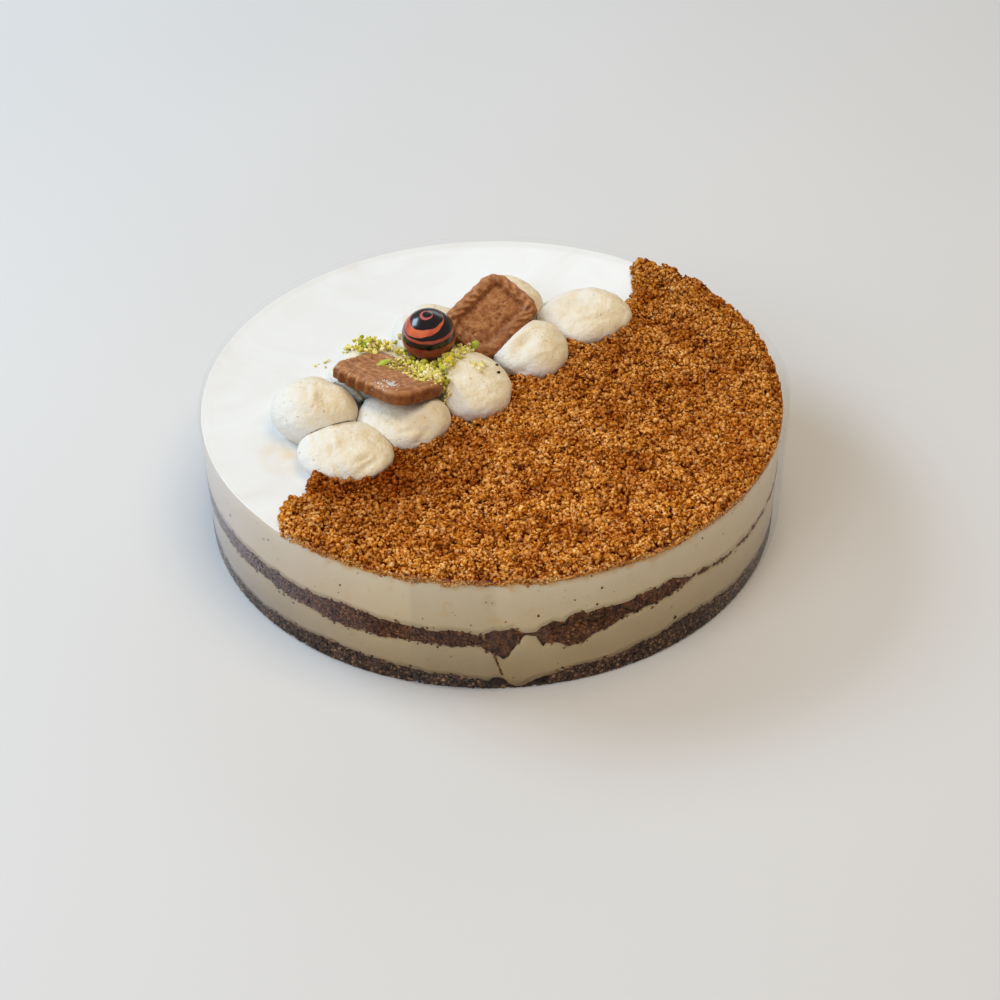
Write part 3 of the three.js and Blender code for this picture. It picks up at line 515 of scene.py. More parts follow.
def connect(tree, value, socket):
    """Sends a node's output, a plain number or a screen colour to a socket."""
    if isinstance(value, (int, float)):
        socket.default_value = value
    elif isinstance(value, tuple):
        socket.default_value = colour(*value)
    else:
        tree.links.new(value, socket)


def own_spots(tree):
    """The object's own coordinates."""
    return tree.nodes.new("ShaderNodeTexCoord").outputs["Object"]


def own_shape(tree, output):
    """What the surface's shape gives at a spot."""
    return tree.nodes.new("ShaderNodeNewGeometry").outputs[output]


def add_texture(tree, kind, size, **sockets):
    """A texture over the object's own coordinates, with features of a size."""
    node = tree.nodes.new(f"ShaderNodeTex{kind}")
    for socket, value in {"Scale": 1 / (size * MM), **sockets}.items():
        node.inputs[socket].default_value = value
    tree.links.new(own_spots(tree), node.inputs["Vector"])
    return node.outputs


def add_noise(tree, size, detail=2.0, distortion=0.0):
    """Noise from 0 to 1, mostly near the middle."""
    return add_texture(tree, "Noise", size, Detail=detail, Distortion=distortion)["Fac"]


def add_pits(tree, size):
    """Distance to the nearest of many scattered points, for pores."""
    return add_texture(tree, "Voronoi", size)["Distance"]


def add_ramp(tree, factor, stops):
    """Colours by a factor; each stop is (position, screen colour)."""
    node = tree.nodes.new("ShaderNodeValToRGB")
    elements = node.color_ramp.elements
    while len(elements) < len(stops):
        elements.new(0.5)
    for element, (position, value) in zip(elements, stops):
        element.position = position
        element.color = colour(*value)
    tree.links.new(factor, node.inputs["Fac"])
    return node.outputs["Color"]


def add_range(tree, value, low, high, to_low=0.0, to_high=1.0):
    """A value moved from one range to another and kept inside it."""
    node = tree.nodes.new("ShaderNodeMapRange")
    for socket, number in zip(("From Min", "From Max", "To Min", "To Max"), (low, high, to_low, to_high)):
        node.inputs[socket].default_value = number
    tree.links.new(value, node.inputs["Value"])
    return node.outputs["Result"]


def add_math(tree, operation, *values):
    """One to three values combined; each may be a plain number."""
    node = tree.nodes.new("ShaderNodeMath")
    node.operation = operation
    for socket, value in zip(node.inputs, values):
        connect(tree, value, socket)
    return node.outputs["Value"]


def add_mix(tree, factor, first, second, blend="MIX"):
    """Two colours mixed by a factor; each may be a plain value or a screen colour."""
    node = tree.nodes.new("ShaderNodeMix")
    node.data_type = "RGBA"
    node.blend_type = blend
    for order, value in ((0, factor), (6, first), (7, second)):
        connect(tree, value, node.inputs[order])
    return node.outputs[2]


def add_shades(tree, tone, *shades):
    """A tone darkened by each shade, given as (share, screen colour)."""
    for share, shade in shades:
        tone = add_mix(tree, share, tone, shade, "MULTIPLY")
    return tone


def add_vector(tree, operation, source, fixed):
    """A number from a vector and a fixed one."""
    node = tree.nodes.new("ShaderNodeVectorMath")
    node.operation = operation
    node.inputs[1].default_value = fixed
    tree.links.new(source, node.inputs[0])
    return node.outputs["Value"]


def add_reach(tree, direction, start, end, low=0.0, high=1.0):
    """A value that runs from low to high between two distances along a direction, in millimetres."""
    away = add_vector(tree, "DOT_PRODUCT", own_spots(tree), direction)
    return add_range(tree, away, start * MM, end * MM, low, high)


def add_near(tree, spot, inner, outer, strength=1.0):
    """A value that runs from its strength at the inner distance of a spot to 0 at the outer one."""
    away = add_vector(tree, "DISTANCE", own_spots(tree), Vector(spot) * MM)
    return add_range(tree, away, inner * MM, outer * MM, strength, 0.0)


def add_facing(tree, direction, *levels):
    """A value that depends on how far a surface faces along a direction; levels as in add_range."""
    facing = add_vector(tree, "DOT_PRODUCT", own_shape(tree, "Normal"), Vector(direction).normalized())
    return add_range(tree, facing, *levels)


def add_painted_left_reflection(tree, tone, strength, grey=(150, 138, 140)):
    """Painted reflection: a tone that turns grey towards the left side of the cake, where the film reflects
    cool light.
    """
    return add_mix(tree, add_reach(tree, (1, 0, 0), -118, -45, strength, 0.0), tone, grey)


def paint(tree, tone):
    """Sends a colour to the shader."""
    connect(tree, tone, tree.nodes["Principled BSDF"].inputs["Base Color"])


def add_bump(tree, height, strength, depth):
    """Small relief of a depth in millimetres."""
    node = tree.nodes.new("ShaderNodeBump")
    node.inputs["Strength"].default_value = strength
    node.inputs["Distance"].default_value = depth * MM
    tree.links.new(height, node.inputs["Height"])
    tree.links.new(node.outputs["Normal"], tree.nodes["Principled BSDF"].inputs["Normal"])


# Materials

def crumb_material(name, tones, mottle, gleam, variety, painted_left_reflection=0.0, far_shade=0.0):
    """Baked crumb with painted shade in its pits, beside the front mounds and, by far_shade, towards the
    back; variety is how much its grains differ, and mottle the tone that darkens it in patches.
    """
    material, tree = new_material(name, 0.7, specular_ior_level=gleam)
    grain = add_math(tree, "MULTIPLY", own_shape(tree, "Random Per Island"), variety)
    speckle = add_range(tree, add_noise(tree, 1.25), 0.37, 0.63, 0.0, 1.0 - variety)
    # Painted shade: darker in the crumbs' pits, beside the front mounds where they cast shadow, and towards
    # the back
    hollows = add_range(tree, own_shape(tree, "Pointiness"), 0.44, 0.565, 1.0, 0.0)
    near = add_near(tree, CRUMB_SHADOW_AT, 10, CRUMB_SHADOW_REACH, 0.9)
    far = add_reach(tree, (0, 1, 0), -100, 80, 0.0, far_shade)
    patches = add_range(tree, add_noise(tree, 16, 3.0), 0.4, 0.62, 0.0, 0.8)
    tone = add_ramp(tree, add_math(tree, "ADD", grain, speckle), tones)
    tone = add_shades(tree, tone, (hollows, (112, 42, 6)), (near, (180, 138, 94)), (far, (226, 220, 216)),
                      (patches, mottle))
    # Painted reflection: greyer towards the left side
    paint(tree, add_painted_left_reflection(tree, tone, painted_left_reflection))
    add_bump(tree, add_noise(tree, 1.1), 0.5, 0.35)
    return material


def pressed_crumb_material(name, dark, light, painted_left_reflection):
    """Pressed crumb seen at the side of the cake."""
    material, tree = new_material(name, 0.8, specular_ior_level=0.3)
    fine = add_noise(tree, 0.9, 3.0)
    coarse = add_math(tree, "MULTIPLY", add_noise(tree, 3.2, 4.0, 0.4), 0.55)
    mixed = add_math(tree, "MULTIPLY_ADD", fine, 0.45, coarse)
    tone = add_ramp(tree, add_range(tree, mixed, 0.4, 0.6), [(0.0, dark), (1.0, light)])
    # Painted reflection: greyer towards the left side
    paint(tree, add_painted_left_reflection(tree, tone, painted_left_reflection))
    add_bump(tree, fine, 0.8, 0.5)
    return material


def mousse_material(name, low_tone, high_tone, low, high, caramel, grey):
    """Smooth mousse whose tone changes with height, with clouds, specks and caramel under the crumbs."""
    material, tree = new_material(name, 0.38, specular_ior_level=0.45, coat_weight=0.2, coat_roughness=0.16)
    clouds = add_range(tree, add_noise(tree, 26, 3.0, 0.6), 0.3, 0.7, -0.14, 0.14)
    blended = add_math(tree, "ADD", add_reach(tree, (0, 0, 1), low, high), clouds)
    tone = add_ramp(tree, blended, [(0.0, low_tone), (1.0, high_tone)])
    specks = add_range(tree, add_pits(tree, 7.5), 0.03, 0.07, 0.55, 0.0)
    tone = add_mix(tree, specks, tone, (150, 112, 70))
    cloudy = add_range(tree, add_noise(tree, 6, 3.0), 0.3, 0.7, -0.6, 0.5)
    near_top = add_math(tree, "ADD", add_reach(tree, (0, 0, 1), 53, 57.4), cloudy)
    under_crumbs = add_reach(tree, (*border_turned(0, 1), 0), 4, 24)
    soaked = add_math(tree, "MULTIPLY", add_range(tree, near_top, 0.2, 1.1, 0.0, caramel), under_crumbs)
    tone = add_mix(tree, soaked, tone, (214, 166, 96))
    # Painted reflection: greyer towards the left side
    paint(tree, add_painted_left_reflection(tree, tone, 0.42, grey))
    add_bump(tree, add_noise(tree, 5, 3.0), 0.35, 0.12)
    return material


def glaze_material():
    """The glossy, faintly cloudy bare top."""
    material, tree = new_material("upper_mousse_top", 0.34, specular_ior_level=0.45, coat_weight=0.25,
                                  coat_roughness=0.2)
    tone = add_ramp(tree, add_noise(tree, 34, 4.0, 1.2), GLAZE_TONES)
    # Painted reflection: a warm patch in soft clouds where a mound is mirrored in the glossy top
    cloudy = add_range(tree, add_noise(tree, 9, 3.0), 0.35, 0.65, 0.2, 0.8)
    warm_reflection = add_math(tree, "MULTIPLY", add_near(tree, WARM_REFLECTION_AT, 4, WARM_REFLECTION_REACH), cloudy)
    paint(tree, add_mix(tree, warm_reflection, tone, (226, 204, 170)))
    add_bump(tree, add_noise(tree, 16, 3.0, 0.8), 0.5, 0.25)
    return material


def cream_material():
    """Matt piped cream with a fine, slightly porous skin; painted warm light where it faces up and to the
    right, and painted shade in its pores.
    """
    material, tree = new_material("piped_cream", 0.55, specular_ior_level=0.4, subsurface_weight=0.12,
                                  subsurface_scale=0.003, subsurface_radius=(1.0, 0.7, 0.4))
    # Painted light: the cream is cool white where the window light falls and warm where it faces up and to
    # the right
    warm_lit_tone = add_ramp(tree, add_noise(tree, 6, 4.0), [(0.35, (230, 208, 162)), (0.65, (242, 227, 195))])
    tone = add_mix(tree, add_facing(tree, CREAM_WARM_LIT_SIDE, 0.35, 0.95, 0.0, 0.85), (232, 229, 223), warm_lit_tone)
    pits = add_range(tree, add_pits(tree, 4.8), 0.02, 0.12)
    # Painted shade darkens the pores
    paint(tree, add_mix(tree, add_range(tree, pits, 0.0, 1.0, 0.5, 0.0), tone, (190, 152, 100)))
    skin = add_math(tree, "MULTIPLY_ADD", pits, 0.8, add_noise(tree, 1.5, 4.0, 0.4))
    add_bump(tree, skin, 1.0, 0.5)
    return material


def biscuit_material():
    """Baked biscuit with a painted highlight on its edges and ridges, painted shade in its hollows and at
    one corner, sides darker from their bake and from painted shade, and a few pale specks of sugar.
    """
    material, tree = new_material("baked_biscuit", 0.5, specular_ior_level=0.5)
    crust = add_noise(tree, 2.6, 5.0, 0.5)
    grain = add_noise(tree, 0.7, 3.0)
    mixed = add_math(tree, "MULTIPLY_ADD", crust, 0.72, add_math(tree, "MULTIPLY", grain, 0.28))
    tone = add_ramp(tree, mixed, BISCUIT_TONES)
    # Painted light from the surface's shape: a highlight on edges and ridges, shade in grooves and hollows
    edges = own_shape(tree, "Pointiness")
    tone = add_mix(tree, add_range(tree, edges, 0.5, 0.56, 0.0, 0.3), tone, (214, 160, 110))
    tone = add_mix(tree, add_range(tree, edges, 0.43, 0.5, 0.7, 0.0), tone, (92, 46, 18))
    # Sides darker, partly from their browner bake and partly painted shade
    sides = add_facing(tree, (0, 0, 1), 0.45, 0.86, 1.0, 0.0)
    # Painted shade at one lower corner of the right biscuit
    near = add_near(tree, BISCUIT_SHADE_AT, 8, 26, 0.8)
    tone = add_shades(tree, tone, (sides, (196, 168, 124)), (near, (196, 164, 116)))
    sugar = add_range(tree, add_pits(tree, 2.2), 0.02, 0.05, 0.5, 0.0)
    paint(tree, add_mix(tree, sugar, tone, (220, 190, 160)))
    add_bump(tree, add_math(tree, "MULTIPLY_ADD", grain, 0.5, crust), 0.8, 0.3)
    return material


def nut_material(name, tones):
    """Chopped pistachio."""
    material, tree = new_material(name, 0.55, specular_ior_level=0.4)
    uneven = add_range(tree, add_noise(tree, 1.0), 0.3, 0.7, -0.15, 0.15)
    mixed = add_math(tree, "ADD", own_shape(tree, "Random Per Island"), uneven)
    paint(tree, add_ramp(tree, mixed, tones))
    add_bump(tree, add_noise(tree, 0.6, 3.0), 0.5, 0.15)
    return material


def ball_material():
    """Dark chocolate with printed orange swirls that wind round its upper pole, a painted pink reflection
    near the pole and painted shade on its lower swirls.
    """
    material, tree = new_material("dark_chocolate", 0.24, specular_ior_level=0.5, coat_weight=0.35,
                                  coat_roughness=0.1)
    place = tree.nodes.new("ShaderNodeMapping")
    place.vector_type = "TEXTURE"
    place.inputs["Location"].default_value = Vector(BALL_AT) * MM
    place.inputs["Rotation"].default_value = BALL_TILT
    place.inputs["Scale"].default_value = (BALL_RADIUS * MM,) * 3
    tree.links.new(own_spots(tree), place.inputs["Vector"])
    parts = tree.nodes.new("ShaderNodeSeparateXYZ")
    tree.links.new(place.outputs["Vector"], parts.inputs["Vector"])
    wobble = add_range(tree, add_noise(tree, 5, 1.0), 0.3, 0.7, -1.4, 1.4)
    lift = add_math(tree, "ARCCOSINE", parts.outputs["Z"])
    lift = add_math(tree, "MULTIPLY_ADD", lift, math.degrees(1), wobble)
    turn = add_math(tree, "ARCTAN2", parts.outputs["Y"], parts.outputs["X"])
    share = 0.0
    for middle, sway, half, thinning, phase in BALL_SWIRLS:
        wave = add_math(tree, "COSINE", add_math(tree, "SUBTRACT", turn, math.radians(phase)))
        centre = add_math(tree, "MULTIPLY_ADD", wave, sway, middle)
        width = add_math(tree, "MULTIPLY_ADD", wave, thinning, half)
        away = add_math(tree, "ABSOLUTE", add_math(tree, "SUBTRACT", lift, centre))
        swirl = add_range(tree, add_math(tree, "SUBTRACT", away, width), -0.8, 0.8, 1.0, 0.0)
        share = add_math(tree, "MAXIMUM", share, swirl)
    orange = add_ramp(tree, add_noise(tree, 6), [(0.35, (194, 84, 66)), (0.6, (226, 112, 70))])
    # Painted reflection: the swirls turn pink near the pole
    orange = add_mix(tree, add_range(tree, lift, 22, 36, 0.6, 0.0), orange, (176, 92, 112))
    # Painted shade: the lower swirls turn a darker red
    orange = add_mix(tree, add_range(tree, lift, 54, 74), orange, (150, 60, 46))
    paint(tree, add_mix(tree, share, (22, 14, 20), orange))
    return material


def film_material(name, haze, gloss):
    """Clear film: what is behind it shows, with a little haze and a reflection that grows at a slant."""
    material, tree = new_material(name, 0.08, base_color=colour(226, 232, 240), specular_ior_level=1.0)
    clear = tree.nodes.new("ShaderNodeBsdfTransparent")
    slant = tree.nodes.new("ShaderNodeLayerWeight")
    slant.inputs["Blend"].default_value = 0.5
    share = add_range(tree, add_math(tree, "POWER", slant.outputs["Facing"], 5.0), 0.0, 1.0, haze, gloss)
    blend = tree.nodes.new("ShaderNodeMixShader")
    shader = tree.nodes["Principled BSDF"]
    for socket, output in zip(blend.inputs, (share, clear.outputs["BSDF"], shader.outputs["BSDF"])):
        tree.links.new(output, socket)
    tree.links.new(blend.outputs["Shader"], tree.nodes["Material Output"].inputs["Surface"])
    return material


def speckled_material(name, roughness, size, detail, tones, **sockets):
    """A surface of two tones in soft specks."""
    material, tree = new_material(name, roughness, **sockets)
    paint(tree, add_ramp(tree, add_noise(tree, size, detail), tones))
    return material


topping_material = crumb_material("topping_crumb", CARAMEL_TONES, CRUMB_MOTTLE, 0.0, 0.3, far_shade=0.9)
bed_material = crumb_material("topping_bed", BED_TONES, CRUMB_MOTTLE, 0.0, 0.0, far_shade=0.9)
rim_material = crumb_material("topping_rim", RIM_TONES, CRUMB_MOTTLE, 0.0, 0.5, far_shade=0.9)
base_grain_material = crumb_material("base_grains", BASE_GRAIN_TONES, (180, 170, 165), 0.1, 0.6)
# The middle crumbs' last number, here and two lines below, is the strength of their painted reflection
# towards the left
middle_grain_material = crumb_material("middle_grains", MIDDLE_GRAIN_TONES, (190, 170, 160), 0.1, 0.6, 0.7)
base_material = pressed_crumb_material("base_crumb", (34, 22, 17), (104, 78, 62), 0.0)
middle_material = pressed_crumb_material("middle_crumb", (44, 24, 14), (124, 80, 52), 0.65)
# Each mousse's last tone is the grey of its painted reflection towards the left
lower_material = mousse_material("lower_mousse", (160, 134, 92), (194, 171, 130), 2, 28, 0.0,
                                 (148, 142, 152))
side_material = mousse_material("upper_mousse", (212, 187, 145), (226, 208, 176), 34, 57, 0.9,
                                (184, 178, 192))
top_material = glaze_material()
piped_material = cream_material()
biscuit_surface = biscuit_material()
pistachio_material = nut_material("pistachio", NUT_TONES)
green_nut_material = nut_material("pistachio_green", GREEN_TONES)
gold_nut_material = nut_material("pistachio_gold", GOLD_TONES)
marbled_material = ball_material()
film_surface = film_material("clear_film", 0.006, 0.35)
film_edge = film_material("clear_film_edge", 0.02, 0.2)


# Cake layers

degrees_round = np.arange(SECTORS) * 360 / SECTORS


def ring_at(radius, height):
    """A ring of points; radius and height are numbers or one for each direction."""
    return round_spots(radius, degrees_round, height)


def boundary_wander(seed):
    """How unevenly a layer's border runs round the side."""
    return layered_noise(ring_at(CAKE_RADIUS, 0), WANDER_LAYERS, seed)


borders = {
    "base": (BASE_TOP, boundary_wander(11)),
    "middle_low": (MIDDLE_BOTTOM, boundary_wander(23)),
    "middle_high": (MIDDLE_TOP, boundary_wander(37)),
}


def border_height(border, radius=CAKE_RADIUS):
    """Height of a border between layers, in each direction; None is the underside."""
    if border is None:
        return np.zeros(SECTORS)
    boundary, wander = borders[border]
    inside = boundary["inside"]
    outer = round_value(boundary["side"], degrees_round)
    settled = inside + (outer - inside) * smooth_step(INNER_RADII[0], CAKE_RADIUS, radius)
    return np.maximum(settled + wander * smooth_step(WANDER_RADIUS, CAKE_RADIUS, radius), 0.8)


def border_middle(border):
    """The point of a border in the middle of the cake."""
    return 0, 0, borders[border][0]["inside"] if border else 0


def inner_rings(border, outward):
    """Rings of a layer's hidden upper or lower side."""
    radii = INNER_RADII if outward else INNER_RADII[::-1]
    return [ring_at(radius, border_height(border, radius)) for radius in radii]


def side_rings(low, high, rows, radius_at):
    """Rings up the side between two borders."""
    rings = []
    for share in np.linspace(0, 1, rows):
        height = low + (high - low) * share
        rings.append(ring_at(radius_at(ring_at(CAKE_RADIUS, height), share), height))
    return rings


def top_height(radius, degrees):
    """Height of the upper mousse, which turns up at the bare half's rim."""
    bare = smooth_step(*BARE_ACROSS, CAKE_RADIUS * np.sin(np.radians(degrees - EDGE_DIRECTION)))
    rise = RIM_RISE * smooth_step(CAKE_RADIUS - RIM_WIDTH, CAKE_RADIUS, radius)
    ripple = RIPPLE_DEPTH * value_noise(round_spots(radius, degrees), RIPPLE_SIZE, 5)
    return MOUSSE_TOP + bare * (rise + ripple * smooth_step(CAKE_RADIUS, CAKE_RADIUS - 20, radius))


def crumb_radius(seed, depth):
    """Radius of pressed crumb: packed grains with hollows between them."""
    def radius_at(points, share):
        hollows = np.clip(value_noise(points, 4.5, seed + 7) - 0.25, 0, 1)
        return SIDE_RADIUS - 0.12 - depth * (1 - cell_bumps(points, 1.9, seed)) - 2.2 * hollows
    return radius_at


def hollow_share(points):
    """The broken place in the base at the front, from 0 outside it to 1 inside."""
    degrees = np.degrees(np.arctan2(points[..., 1], points[..., 0]))
    beside = smooth_step(*HOLLOW_START, degrees) * smooth_step(*HOLLOW_END, degrees)
    drip = np.exp(-((degrees - DRIP_AT) / DRIP_WIDTH) ** 2)
    return beside * (1 - drip) * smooth_step(0.6, 1.4, points[..., 2])


def base_radius(points, share):
    """The base's side, broken away at the front."""
    return crumb_radius(101, 0.55)(points, share) - HOLLOW_DEPTH * hollow_share(points)


def mousse_radius(seed, rounding):
    """Radius of smooth mousse, rounded off at its top."""
    def radius_at(points, share):
        return SIDE_RADIUS + 0.06 * value_noise(points, 6, seed) - rounding * smooth_step(0.97, 1.0, share)
    return radius_at


def layer_piece(name, node, border_low, border_high, rows, radius_at, material):
    """One layer of the cake as a closed solid."""
    side = side_rings(border_height(border_low), border_height(border_high), rows, radius_at)
    rings = [*inner_rings(border_low, True), *side, *inner_rings(border_high, False)]
    points, faces = stacked(rings, border_middle(border_low), border_middle(border_high))
    piece = make_piece(name, points, faces, [material])
    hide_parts(node)


def upper_layer():
    """The upper mousse, with the bare half's glossy top and its turned-up rim."""
    rim = top_height(CAKE_RADIUS, degrees_round)
    side = side_rings(border_height("middle_high"), rim - 0.25, 8, mousse_radius(19, 0.5))
    top = [ring_at(radius, top_height(radius, degrees_round)) for radius in TOP_RADII]
    points, faces = stacked([*inner_rings("middle_high", True), *side, *top], border_middle("middle_high"),
                            (0, 0, MOUSSE_TOP))
    centres = points[faces].mean(axis=1)
    on_top = (centres[:, 2] > MOUSSE_TOP - 0.4) & (np.hypot(centres[:, 0], centres[:, 1]) < 129.6)
    piece = make_piece("upper_mousse_layer", points, faces, [side_material, top_material], slots=on_top)
    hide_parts("upper_mousse")


layer_piece("base_crumb_layer", "crumb_base", None, "base", 10, base_radius, base_material)
layer_piece("lower_mousse_layer", "lower_mousse", "base", "middle_low", 7,
            mousse_radius(17, 0.0), lower_material)
layer_piece("middle_crumb_layer", "crumb_middle", "middle_low", "middle_high", 10,
            crumb_radius(131, 0.5), middle_material)
upper_layer()


# Clear collar

def collar_radius(degrees):
    """Inside radius of the collar: its first end lies over its last end, and it bulges at one side."""
    past = degrees - COLLAR_START - COLLAR_OVERLAP
    lap = (1 - smooth_step(0, COLLAR_OVERLAP / 2, past)) * (COLLAR_THICKNESS + COLLAR_GAP)
    beside = wrapped(degrees - COLLAR_BULGE_AT) / COLLAR_BULGE_SPREAD
    return COLLAR_INSIDE + lap + COLLAR_BULGE * np.exp(-beside * beside)


def collar_piece():
    """The collar as one thin closed strip, with its cut edges in a material of their own."""
    degrees = COLLAR_START + (360 + COLLAR_OVERLAP) * np.linspace(0, 1, COLLAR_STEPS)
    inner = np.linspace(COLLAR_BOTTOM + COLLAR_EDGE, COLLAR_TOP - COLLAR_EDGE, COLLAR_ROWS - 2)
    heights = np.concatenate([[COLLAR_BOTTOM], inner, [COLLAR_TOP]])
    loop = []
    for offset, levels in ((COLLAR_THICKNESS, heights), (0.0, heights[::-1])):
        for height in levels:
            wave = 0.08 * value_noise(round_spots(40, degrees, height), 11, 3)
            loop.append(round_spots(collar_radius(degrees) + offset + wave, degrees, height))
    count = len(loop)
    points = np.stack(loop, axis=1).reshape(-1, 3)
    sides = grid_faces(COLLAR_STEPS, count, closed=True)[:, ::-1]
    ring = np.arange(count)
    end = np.concatenate([ring[:COLLAR_ROWS], ring[:COLLAR_ROWS - 1:-1]])[grid_faces(2, COLLAR_ROWS)]
    faces = np.concatenate([sides, end, end[:, ::-1] + (COLLAR_STEPS - 1) * count])
    cut = np.arange(len(faces)) >= len(sides)
    for edge in ((COLLAR_ROWS - 1, COLLAR_ROWS), (0, count - 1)):
        cut |= np.isin(faces % count, edge).all(axis=1)
    piece = make_piece("collar_film", points, faces, [film_surface, film_edge], slots=cut)
    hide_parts("clear_collar")


collar_piece()


# Piped cream

for mound in CREAMS.values():
    # Height of its widest level over its foot, and its half heights below that level and above it
    mound["belly"] = BELLY_SHARE * mound["height"]
    mound["lower"] = mound["belly"] / math.sin(math.radians(-FOOT_LATITUDE))
    mound["upper"] = mound["height"] - mound["belly"]


def mound_frame(cream, points):
    """Spots in a mound's own directions: along, across, and up from its widest level."""
    away = points[:, :2] - cream["at"]
    along, across = turned(away[:, 0], away[:, 1], -math.radians(cream["turn"]))
    return along, across, points[:, 2] - CREAM_FOOT - cream["belly"]


def mound_spots(cream, along, across, up, crown):
    """Points from a mound's own directions, moved over by its lean where it rises to its crown."""
    first, second = along + cream["lean"][0] * crown, across + cream["lean"][1] * crown
    x, y = turned(first, second, math.radians(cream["turn"]))
    return spots_at(x + cream["at"][0], y + cream["at"][1], up + CREAM_FOOT + cream["belly"])


def mound_swell(cream, turn):
    """How much a mound's soft swellings widen it in a direction."""
    return 1 + sum(depth * np.cos(waves * turn + phase) for waves, depth, phase in cream["folds"])


def mound_reach(cream, along, across, grow):
    """A mound's half widths towards a spot, swollen and grown."""
    wide, deep = cream["reach"]
    swell = mound_swell(cream, np.arctan2(across / deep, along / wide))
    return wide * swell + grow, deep * swell + grow


def mound_depth(cream, points, grow):
    """How far out a spot is in a mound, under 1 inside it, with its own directions and its crown share."""
    along, across, up = mound_frame(cream, points)
    tall = np.where(up > 0, cream["upper"], cream["lower"]) + grow
    crown = np.clip(up / tall, 0, 1) ** 2
    along, across = along - cream["lean"][0] * crown, across - cream["lean"][1] * crown
    wide, deep = mound_reach(cream, along, across, grow)
    return np.sqrt((along / wide) ** 2 + (across / deep) ** 2 + (up / tall) ** 2), along, across, up, crown


def pushed_off_mound(points, cream, grow):
    """Points moved out of a mound to a little off its surface."""
    away, along, across, up, crown = mound_depth(cream, points, grow)
    factor = np.where(away < 1, 1 / np.maximum(away, 0.05), 1)
    moved = mound_spots(cream, along * factor, across * factor, up * factor, crown)
    moved[:, 2] = np.maximum(moved[:, 2], CREAM_FOOT)
    return np.where((away < 1)[:, None], moved, points)


def pushed_off_ball(points, grow):
    """Points moved out of the chocolate ball."""
    away = points - BALL_AT
    inside = np.linalg.norm(away, axis=1, keepdims=True) < BALL_RADIUS + grow
    return np.where(inside, BALL_AT + unit(away) * (BALL_RADIUS + grow), points)


def biscuit_place(biscuit):
    """Directions of a biscuit's width, length and face as the columns of a matrix, and its middle."""
    face = unit(np.array(biscuit["face"]))
    along = np.array(biscuit["along"])
    along = unit(along - face * (along @ face))
    return np.stack([np.cross(along, face), along, face], axis=-1), np.array(biscuit["at"])


def outline_distance(x, y, length):
    """Distance to a biscuit's outline, negative inside, and the way out."""
    over_x = np.abs(x) - (BISCUIT_WIDTH / 2 - BISCUIT_CORNER)
    over_y = np.abs(y) - (length / 2 - BISCUIT_CORNER)
    outer_x, outer_y = np.maximum(over_x, 0), np.maximum(over_y, 0)
    distance = np.hypot(outer_x, outer_y) + np.minimum(np.maximum(over_x, over_y), 0) - BISCUIT_CORNER
    flat = (outer_x + outer_y) == 0
    way_x = np.where(flat, over_x > over_y, outer_x) * np.sign(x)
    way_y = np.where(flat, over_x <= over_y, outer_y) * np.sign(y)
    size = np.maximum(np.hypot(way_x, way_y), 1e-6)
    return distance, way_x / size, way_y / size


def pushed_off_biscuit(points, biscuit, grow):
    """Points moved out of a biscuit and off its face, past its nearer side or its underside."""
    axes, middle = biscuit_place(biscuit)
    local = (points - middle) @ axes
    distance, way_x, way_y = outline_distance(local[:, 0], local[:, 1], biscuit["length"])
    half = BISCUIT_THICKNESS / 2 + grow
    inside = (distance < grow) & (local[:, 2] > -half)
    sideways = inside & (grow - distance < local[:, 2] + half)
    out = np.where(sideways, grow - distance, 0)
    moved = local + spots_at(way_x * out, way_y * out)
    moved[:, 2] = np.where(sideways, moved[:, 2], -half)
    return np.where(inside[:, None], moved @ axes.T + middle, points)


def mound_mesh(cream, seed):
    """A mound's surface with its hollows, creases and unevenness."""
    latitude = np.radians(np.linspace(FOOT_LATITUDE, 88, CREAM_ROWS))[:, None]
    turn = full_turn(CREAM_SEGMENTS)[None]
    undercut = UNDERCUT * smooth_step(math.radians(12), math.radians(37), -latitude)
    swell = mound_swell(cream, turn) * (1 - undercut) * np.cos(latitude)
    wide, deep = cream["reach"]
    along, across = wide * swell * np.cos(turn), deep * swell * np.sin(turn)
    up = np.where(latitude < 0, cream["lower"], cream["upper"]) * np.sin(latitude) + 0 * turn
    crown = np.clip(np.sin(latitude), 0, 1) ** 2
    points = mound_spots(cream, along, across, up, crown).reshape(-1, 3)
    normal = unit(spots_at(along / wide ** 2, across / deep ** 2, up / cream["upper"] ** 2)).reshape(-1, 3)
    outward = spots_at(*turned(normal[:, 0], normal[:, 1], math.radians(cream["turn"])), normal[:, 2])
    relief = layered_noise(points, CREAM_LAYERS, seed)
    creased = smooth_step(-0.1, 0.5, value_noise(points, 13, seed + 5))
    relief -= 0.18 * creased * np.clip(1 - np.abs(value_noise(points, 8, seed + 6)) / 0.26, 0, 1)
    facing = smooth_step(-0.3, 0.2, outward[:, 2])
    for x, y, reach_along, reach_across, mark_turn, depth in cream["marks"]:
        away = points[:, :2] - cream["at"] - (x, y)
        first, second = turned(away[:, 0], away[:, 1], -math.radians(mark_turn))
        relief -= facing * depth * np.exp(-(first / reach_along) ** 2 - (second / reach_across) ** 2)
    fade = smooth_step(CREAM_FOOT, CREAM_FOOT + 1.5, points[:, 2])
    return points + outward * (relief * fade)[:, None]


def mound_pieces():
    """Every mound, each pressed back from the ones listed before it, the ball and the biscuits."""
    earlier = []
    for order, (name, cream) in enumerate(CREAMS.items()):
        points = mound_mesh(cream, 200 + 10 * order)
        for other in earlier:
            points = pushed_off_mound(points, other, CONTACT_GAP)
        for biscuit in BISCUITS.values():
            points = pushed_off_biscuit(points, biscuit, CONTACT_GAP)
        points = pushed_off_ball(points, CONTACT_GAP)
        points, faces = stacked(points.reshape(CREAM_ROWS, CREAM_SEGMENTS, 3), (*cream["at"], CREAM_FOOT))
        piece = make_piece(f"cream_mound_{name}", points, faces, [piped_material])
        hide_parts(f"cream_{name}")
        earlier.append(cream)


